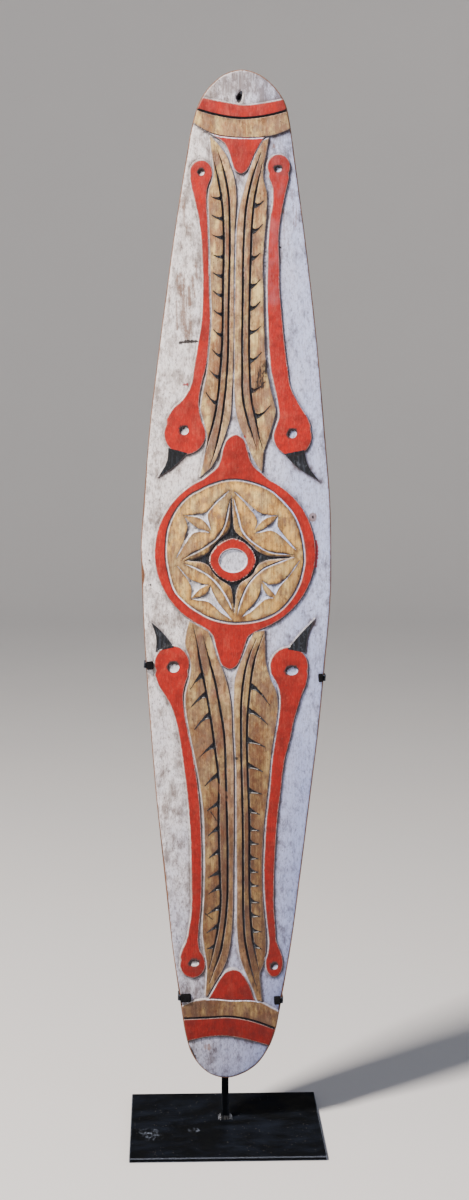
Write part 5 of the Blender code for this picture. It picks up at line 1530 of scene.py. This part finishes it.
def arc_weld():
    """Thinly painted weld bead with bare metal showing through in patches at its left and right sides, which
    also stand for painted glints.
    """
    material, tree, shader, place = new_material("painted_arc_weld")
    fine = noise_at(tree, place, (1300, 1300, 1300), 4, 0.6)
    patches = noise_at(tree, place, (300, 300, 300), 4, 0.65)
    across = add_node(tree, "ShaderNodeSeparateXYZ", i0=place).outputs[0]
    sideways = add_node(tree, "ShaderNodeMath", {"operation": "ABSOLUTE"}, i0=across).outputs[0]
    # Bare metal and a painted glint, in patches only at the bead's left and right sides
    bare_metal_and_glint = product(tree, share_of(tree, patches, 0.46, 0.55), share_of(tree, sideways, 6 * MM, 8 * MM))
    face = laid_over(tree, share_of(tree, fine, 0.4, 0.7), colour("#0d0f13"), colour("#1c1f25"))
    face = laid_over(tree, bare_metal_and_glint, face, colour("#cdd5e4"))
    tree.links.new(bare_metal_and_glint, shader.inputs["Metallic"])
    rough = blend_of(tree, bare_metal_and_glint, 0.5, 0.28)
    finish_shader(tree, shader, face, rough, (0.5, 0.3 * MM, sum_of(tree, fine, patches)), 0.12)
    return material


def pale_paper():
    """Matt seamless backdrop paper."""
    material, tree, shader, place = new_material("seamless_backdrop_paper")
    cloud = noise_at(tree, place, (1.5, 1.5, 1.5), 3, 0.5)
    tooth = noise_at(tree, place, (700, 700, 700), 2, 0.5)
    face = laid_over(tree, cloud, colour("#ebecee"), colour("#f0f1f2"))
    finish_shader(tree, shader, face, 0.9, (0.05, 0.1 * MM, tooth), 0.2)
    return material


def pick(shaped, kind, wanted):
    """Selects the edges or faces of the mesh being edited whose middle passes a test."""
    bpy.ops.mesh.select_all(action="DESELECT")
    bpy.ops.mesh.select_mode(type={"edges": "EDGE", "faces": "FACE"}[kind])
    edited = bmesh.from_edit_mesh(shaped.data)
    for item in getattr(edited, kind):
        if kind == "edges":
            middle = (item.verts[0].co + item.verts[1].co) / 2
        else:
            middle = item.calc_center_median()
        item.select_set(bool(wanted(item, middle)))
    edited.select_flush_mode()
    bmesh.update_edit_mesh(shaped.data)


def new_cube(name, low, high):
    """A cube between two corners, left in edit mode with everything selected."""
    bpy.ops.object.select_all(action="DESELECT")
    bpy.ops.mesh.primitive_cube_add(size=1, location=(0, 0, 0))
    shaped = bpy.context.active_object
    shaped.name = shaped.data.name = name
    bpy.ops.object.mode_set(mode="EDIT")
    bpy.ops.transform.resize(value=Vector(high) - Vector(low))
    bpy.ops.transform.translate(value=(Vector(high) + Vector(low)) / 2)
    return shaped


def cut_slope(at, normal):
    """Cuts away what lies beyond a plane from the mesh being edited, and fills the cut."""
    bpy.ops.mesh.select_all(action="SELECT")
    bpy.ops.mesh.bisect(plane_co=at, plane_no=normal, use_fill=True, clear_outer=True)


def choose(piece):
    """Makes a piece the only one that is selected, and the active one."""
    bpy.ops.object.select_all(action="DESELECT")
    piece.select_set(True)
    bpy.context.view_layer.objects.active = piece


def apply_boolean(target, other, operation):
    """Joins another mesh to the target, or cuts it away, and removes it."""
    choose(target)
    modifier = target.modifiers.new(operation.lower(), "BOOLEAN")
    modifier.object, modifier.operation, modifier.solver = other, operation, "EXACT"
    bpy.ops.object.modifier_apply(modifier=modifier.name)
    bpy.data.objects.remove(other)


def new_grip(sizes):
    """The carved grip on the back: a bar on two sloping feet, with rounded edges."""
    half = sizes.grip_length / 2
    inner = half - GRIP_FOOT_LENGTH
    wide = sizes.grip_width / 2
    across = BOARD_FOOT.x + GRIP_CENTRE * MM * math.sin(BOARD_LEAN)
    middle = BOARD_FOOT.z + GRIP_CENTRE * MM
    back = BOARD_FOOT.y + BOARD_THICKNESS * MM
    outer = back + sizes.grip_stand_off
    under = outer - GRIP_BAR
    grip = new_cube(
        "grip", (across - wide, back - GRIP_ROOT, middle - half), (across + wide, outer, middle + half),
    )
    for side in (1, -1):
        slope = Vector((0, GRIP_SLOPE, side * (outer - back))).normalized()
        cut_slope((across, outer, middle + side * (half - GRIP_SLOPE)), slope)
    bpy.ops.object.mode_set(mode="OBJECT")
    gap = new_cube(
        "gap", (across - 2 * wide, back - 2 * GRIP_ROOT, middle - inner),
        (across + 2 * wide, under, middle + inner),
    )
    for side in (1, -1):
        slope = Vector((0, GRIP_SLOPE / 2, side * (under - back))).normalized()
        cut_slope((across, back, middle + side * inner), slope)
    bpy.ops.object.mode_set(mode="OBJECT")
    apply_boolean(grip, gap, "DIFFERENCE")
    bpy.ops.object.mode_set(mode="EDIT")
    above_root = back + GRIP_ROOT / 4
    pick(grip, "edges", lambda edge, spot: spot.y > above_root and edge.calc_face_angle(0) > SHARP_ANGLE)
    bpy.ops.mesh.bevel(offset=GRIP_ROUNDING, segments=ROUNDING_SEGMENTS, affect="EDGES")
    bpy.ops.object.mode_set(mode="OBJECT")
    return grip


def store(mesh, name, values):
    """Keeps one value for each point of a mesh."""
    mesh.attributes.new(name, "FLOAT", "POINT").data.foreach_set("value", np.asarray(values, np.float32))


def ochre_tones(points):
    """Which tone of ochre belongs at each place: vanes, strip between the grooves, disc or lower band."""
    vane, strip, inner_vane, disc, low_band = (share for share, _ in OCHRE_TONES)
    tone = np.full(len(points), vane)
    for feather in FEATHERS.values():
        outer, inner, edge = (
            as_array(curve_through(feather[name], GROOVE_STEPS))
            for name in ("outer_groove", "inner_groove", "inner_edge")
        )
        tone[depth_inside(points, np.vstack([outer, inner[::-1]])) > 0] = strip
        tone[depth_inside(points, np.vstack([inner, edge[::-1]])) > 0] = inner_vane
    rim = as_array(curve_through(RIM_LINE, RIM_STEPS, closed=True))
    tone[depth_inside(points, rim) > -DISC_MARGIN] = disc
    tone[points[:, 1] < LOW_BAND_TOP] = low_band
    return tone


def paint_board(board, carving):
    """Writes each paint's reach, the tones and the marks on the board's points."""
    mesh = board.data
    places = np.zeros(len(mesh.vertices) * 3)
    mesh.vertices.foreach_get("co", places)
    points, height = to_grid(places.reshape(-1, 3))
    front = height > FRONT_LEVEL
    face = points[front]
    values = paint_reaches(face, distances(face, carving))
    values["lee"] = painted_shadow_side(face, carving)
    values.update(marks(face))
    values["ochre_tone"] = ochre_tones(face)
    for name, at_face in values.items():
        kept = np.full(len(points), ELSEWHERE.get(name, 0.0))
        kept[front] = at_face
        store(mesh, name, kept)


def finish_piece(piece, slot, material, *nodes):
    """Gives a piece its finish and puts it in the place of its solids."""
    piece.data.materials.clear()
    piece.data.materials.append(material)
    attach(piece, "root")
    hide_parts(*nodes)


def smooth(piece, degrees):
    """Smooth shading across edges that bend less than this."""
    choose(piece)
    bpy.ops.object.shade_smooth_by_angle(angle=math.radians(degrees))


def make_board(sizes):
    """The carved board with its grip, painted."""
    carving = shapes()
    board = bpy.data.objects.new("carved_board", board_mesh(carving))
    bpy.context.collection.objects.link(board)
    apply_boolean(board, new_grip(sizes), "UNION")
    paint_board(board, carving)
    smooth(board, degrees=38)
    finish_piece(board, "painted_wood", painted_wood(sizes), "shield_board")


def make_sleeves(sizes):
    """Four rubber sleeves, each in its solid's place, with an open end for the strip."""
    rubber = black_rubber()
    for arm in ("upper", "lower"):
        boxes = {side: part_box(f"sleeve_{arm}_{side}") for side in ("left", "right")}
        middles = {side: (low + high) / 2 for side, (low, high) in boxes.items()}
        rise = middles["right"] - middles["left"]
        tilt = math.atan2(rise.z, rise.x)
        cosine, sine = math.cos(tilt), abs(math.sin(tilt))
        for side, (low, high) in boxes.items():
            size = high - low
            long = (size.x * cosine - size.z * sine) / (cosine**2 - sine**2)
            tall = (size.z * cosine - size.x * sine) / (cosine**2 - sine**2)
            half = Vector((long, size.y, tall)) / 2
            sleeve = new_cube(f"rubber_sleeve_{arm}_{side}", -half, half)
            open_side = -1 if side == "left" else 1
            pick(sleeve, "faces", lambda face, spot: spot.x * open_side > half.x - LEAST_LENGTH)
            bpy.ops.mesh.inset(thickness=SLEEVE_WALL)
            depth = long - 2 * SLEEVE_WALL
            bpy.ops.mesh.extrude_region_move(TRANSFORM_OT_translate={"value": (-open_side * depth, 0, 0)})
            pick(sleeve, "edges", lambda edge, spot: on_outside(edge, half))
            bpy.ops.mesh.bevel(offset=sizes.sleeve_rounding, segments=ROUNDING_SEGMENTS, affect="EDGES")
            bpy.ops.mesh.select_all(action="SELECT")
            bpy.ops.transform.rotate(value=-tilt, orient_axis="Y", center_override=(0, 0, 0))
            bpy.ops.transform.translate(value=middles[side])
            bpy.ops.object.mode_set(mode="OBJECT")
            smooth(sleeve, degrees=40)
            finish_piece(sleeve, "sleeve_rubber", rubber, f"sleeve_{arm}_{side}")


def on_outside(edge, half):
    """Whether both ends of an edge lie on the outer edges of a box with these half sizes."""
    return all(
        sum(abs(abs(vert.co[axis]) - half[axis]) < LEAST_LENGTH for axis in range(3)) >= 2
        for vert in edge.verts
    )


def make_weld(sizes):
    """The bead round the post's foot: a ring pulled square, with ripples where the arc paused."""
    low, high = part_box("weld_bead")
    middle = (low + high) / 2
    post_low, post_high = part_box("stand_post")
    inside = (post_high.x - post_low.x) / 2 + WELD_CLEARANCE
    outside = (high.x - low.x) / 2
    width, height = outside - inside, high.z - low.z
    bpy.ops.object.select_all(action="DESELECT")
    bpy.ops.mesh.primitive_torus_add(
        major_radius=(inside + outside) / 2, minor_radius=width / 2,
        major_segments=WELD_SEGMENTS, minor_segments=WELD_SIDES, location=(0, 0, 0),
    )
    bead = bpy.context.active_object
    bead.name = bead.data.name = "arc_weld_bead"
    for vert in bead.data.vertices:
        turn = math.atan2(vert.co.y, vert.co.x)
        radius = math.hypot(vert.co.x, vert.co.y)
        square = 1 / max(abs(math.cos(turn)), abs(math.sin(turn)))
        pause = 0.5 + 0.5 * math.sin(WELD_RIPPLES * turn + math.sin(WELD_DRIFT * turn))
        ripple = 1 - sizes.weld_ripple * pause
        rise = max(0.0, vert.co.z / width * 2) * height * ripple
        leaning = max(1 - WELD_LEANING * rise / height, WELD_LEAST_REACH)
        reach = inside + (radius - inside) * ripple * leaning
        scale = reach * min(square, WELD_SQUARENESS) / radius
        vert.co = middle + Vector((vert.co.x * scale, vert.co.y * scale, rise * WELD_FILL - height / 2))
    smooth(bead, degrees=60)
    finish_piece(bead, "weld", arc_weld(), "weld_bead")


def dress_steel(sizes):
    """Finishes on the steel plate, post and arms, whose solids are shown as they are."""
    for node, slot, name, roughness, rubbed_and_lit_edges in STEEL_FINISHES:
        material = painted_steel(name, sizes.steel_paint, sizes.dust, roughness, rubbed_and_lit_edges)
        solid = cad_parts[node]
        for place in solid.material_slots:
            place.material = material


def make_floor(sizes):
    """Seamless paper: a round floor that sweeps up into a backdrop on all sides."""
    bpy.ops.object.select_all(action="DESELECT")
    bpy.ops.mesh.primitive_circle_add(
        vertices=FLOOR_SEGMENTS, radius=sizes.floor_radius, fill_type="NGON", location=(0, 0, 0),
    )
    floor = bpy.context.active_object
    floor.name = floor.data.name = "paper_sweep"
    bpy.ops.object.mode_set(mode="EDIT")
    bpy.ops.mesh.select_all(action="SELECT")
    bpy.ops.mesh.extrude_region_move(TRANSFORM_OT_translate={"value": (0, 0, sizes.sweep_height)})
    pick(floor, "faces", lambda face, spot: spot.z > sizes.sweep_height - LEAST_LENGTH)
    bpy.ops.mesh.delete(type="FACE")
    pick(floor, "edges", lambda edge, spot: abs(spot.z) < LEAST_LENGTH)
    bpy.ops.mesh.bevel(offset=sizes.floor_radius / 3, segments=SWEEP_SEGMENTS, affect="EDGES")
    bpy.ops.mesh.select_all(action="SELECT")
    bpy.ops.mesh.normals_make_consistent(inside=True)
    bpy.ops.object.mode_set(mode="OBJECT")
    smooth(floor, degrees=60)
    floor.data.materials.append(pale_paper())


def add_light(name, place, size, tint, energy):
    """A soft rectangular light that faces the shield."""
    light = bpy.data.lights.new(name, "AREA")
    light.shape, light.size, light.size_y = "RECTANGLE", size[0], size[1]
    light.energy, light.color = energy, colour(tint)
    lamp = bpy.data.objects.new(name, light)
    bpy.context.collection.objects.link(lamp)
    lamp.location = place
    lamp.rotation_euler = (Vector(LIGHT_TARGET) - Vector(place)).to_track_quat("-Z", "Y").to_euler()


def make_lights(sizes):
    """A key from high above that grazes the carving, warmer on the left, a cooler fill, and a pale room."""
    add_light(*KEY_LIGHT, sizes.key_power)
    add_light(*FILL_LIGHT, sizes.fill_power)
    world = bpy.data.worlds.new("pale_room")
    world.use_nodes = True
    air = world.node_tree.nodes["Background"]
    air.inputs["Color"].default_value = (*colour(ROOM_TINT), 1)
    air.inputs["Strength"].default_value = sizes.room_strength
    bpy.context.scene.world = world


def make_camera(sizes):
    """The camera at the place, angle and lens that the photo's perspective gives."""
    view = bpy.data.cameras.new("photo_camera")
    view.lens, view.sensor_width, view.sensor_fit = sizes.lens, SENSOR_WIDTH, "AUTO"
    camera = bpy.data.objects.new("photo_camera", view)
    bpy.context.collection.objects.link(camera)
    camera.location = CAMERA_PLACE
    camera.rotation_euler = CAMERA_TURN
    bpy.context.scene.camera = camera


def length_setting(name, about, default):
    """A length that the panel shows."""
    return bpy.props.FloatProperty(name=name, description=about, default=default, unit="LENGTH")


def power_setting(name, about, default):
    """A light's power that the panel shows."""
    return bpy.props.FloatProperty(name=name, description=about, default=default, unit="POWER")


def number_setting(name, about, default, **limits):
    """A plain number that the panel shows."""
    return bpy.props.FloatProperty(name=name, description=about, default=default, **limits)


def paint_setting(name, about, code):
    """A paint's colour that the panel shows, given as sRGB hex."""
    return bpy.props.FloatVectorProperty(name=name, description=about, subtype="COLOR", default=colour(code))


class BoardSizes(bpy.types.PropertyGroup):
    """Sizes and paints of the board."""
    grip_length: length_setting("Grip length", "Length of the grip on the back", 150 * MM)
    grip_width: length_setting("Grip width", "Width of the grip's bar", 30 * MM)
    grip_stand_off: length_setting("Grip stand-off", "How far the grip stands off the back", 36 * MM)
    grain: number_setting("Grain", "Strength of the wood's grain under the paint", 0.8, min=0, max=1)
    white_paint: paint_setting("White", "Chalk white of the ground", "#f6f0f1")
    red_paint: paint_setting("Red", "Brick red of birds, ring and tongues", "#ba1a0c")
    black_paint: paint_setting("Black", "Soot black of grooves and beaks", "#0b0e14")


class StandSizes(bpy.types.PropertyGroup):
    """Sizes and finish of the stand."""
    sleeve_rounding: length_setting("Sleeve rounding", "Rounding of the rubber sleeves", 1.3 * MM)
    weld_ripple: number_setting("Weld ripple", "Depth of the weld's ripples, as a share of its size", 0.12)
    dust: number_setting("Dust", "Most dust on the upper faces", 0.35, min=0, max=1)
    steel_paint: bpy.props.StringProperty(
        name="Steel paint", description="Colour of the steel's paint as sRGB hex", default="#090b0e")


class StageSizes(bpy.types.PropertyGroup):
    """Sizes and powers of the stage."""
    floor_radius: length_setting("Floor radius", "Radius of the round floor", 9.0)
    sweep_height: length_setting("Sweep height", "How far the paper sweeps up round the floor", 5.6)
    key_power: power_setting("Key light", "Power of the key light", 445)
    fill_power: power_setting("Fill light", "Power of the fill light", 20)
    room_strength: number_setting("Room light", "Strength of the light from all round", 0.15)
    lens: number_setting("Lens", "Focal length of the camera in millimetres", 60.45)


class SHIELD_OT_board(bpy.types.Operator):
    """Carve and paint the board with its grip"""
    bl_idname = "shield.board"
    bl_label = "Carved board"

    def execute(self, context):
        make_board(context.scene.shield_board_sizes)
        return {"FINISHED"}


class SHIELD_OT_sleeves(bpy.types.Operator):
    """Make the rubber sleeves on the hooks"""
    bl_idname = "shield.sleeves"
    bl_label = "Rubber sleeves"

    def execute(self, context):
        make_sleeves(context.scene.shield_stand_sizes)
        return {"FINISHED"}


class SHIELD_OT_weld(bpy.types.Operator):
    """Make the weld round the post's foot"""
    bl_idname = "shield.weld"
    bl_label = "Weld"

    def execute(self, context):
        make_weld(context.scene.shield_stand_sizes)
        return {"FINISHED"}


class SHIELD_OT_steel(bpy.types.Operator):
    """Paint the plate, the post and the arms"""
    bl_idname = "shield.steel"
    bl_label = "Painted steel"

    def execute(self, context):
        dress_steel(context.scene.shield_stand_sizes)
        return {"FINISHED"}


class SHIELD_OT_stage(bpy.types.Operator):
    """Make the floor, the lights and the camera"""
    bl_idname = "shield.stage"
    bl_label = "Stage"

    def execute(self, context):
        sizes = context.scene.shield_stage_sizes
        make_floor(sizes)
        make_lights(sizes)
        make_camera(sizes)
        return {"FINISHED"}


class SHIELD_PT_panel(bpy.types.Panel):
    """Sizes, colours and steps of the shield"""
    bl_label = "Shield"
    bl_idname = "SHIELD_PT_panel"
    bl_space_type = "VIEW_3D"
    bl_region_type = "UI"
    bl_category = "Shield"

    def draw(self, context):
        for name, sizes in GROUPS.items():
            box = self.layout.box()
            group = getattr(context.scene, name)
            for key in sizes.__annotations__:
                box.prop(group, key)
        for operator in OPERATORS:
            self.layout.operator(operator.bl_idname)


GROUPS = {
    "shield_board_sizes": BoardSizes, "shield_stand_sizes": StandSizes, "shield_stage_sizes": StageSizes,
}
OPERATORS = (SHIELD_OT_board, SHIELD_OT_sleeves, SHIELD_OT_weld, SHIELD_OT_steel, SHIELD_OT_stage)
CLASSES = (*GROUPS.values(), *OPERATORS, SHIELD_PT_panel)


def register():
    """Registers the classes and their settings."""
    for kind in CLASSES:
        bpy.utils.register_class(kind)
    for name, sizes in GROUPS.items():
        setattr(bpy.types.Scene, name, bpy.props.PointerProperty(type=sizes))


def unregister():
    """Removes the classes and their settings."""
    for name in GROUPS:
        delattr(bpy.types.Scene, name)
    for kind in reversed(CLASSES):
        bpy.utils.unregister_class(kind)


def main():
    """Runs every step in order."""
    register()
    for step in (bpy.ops.shield.board, bpy.ops.shield.sleeves, bpy.ops.shield.weld, bpy.ops.shield.steel,
                 bpy.ops.shield.stage):
        if step() != {"FINISHED"}:
            raise RuntimeError("a step of the shield did not finish")


if __name__ == "__main__":
    main()
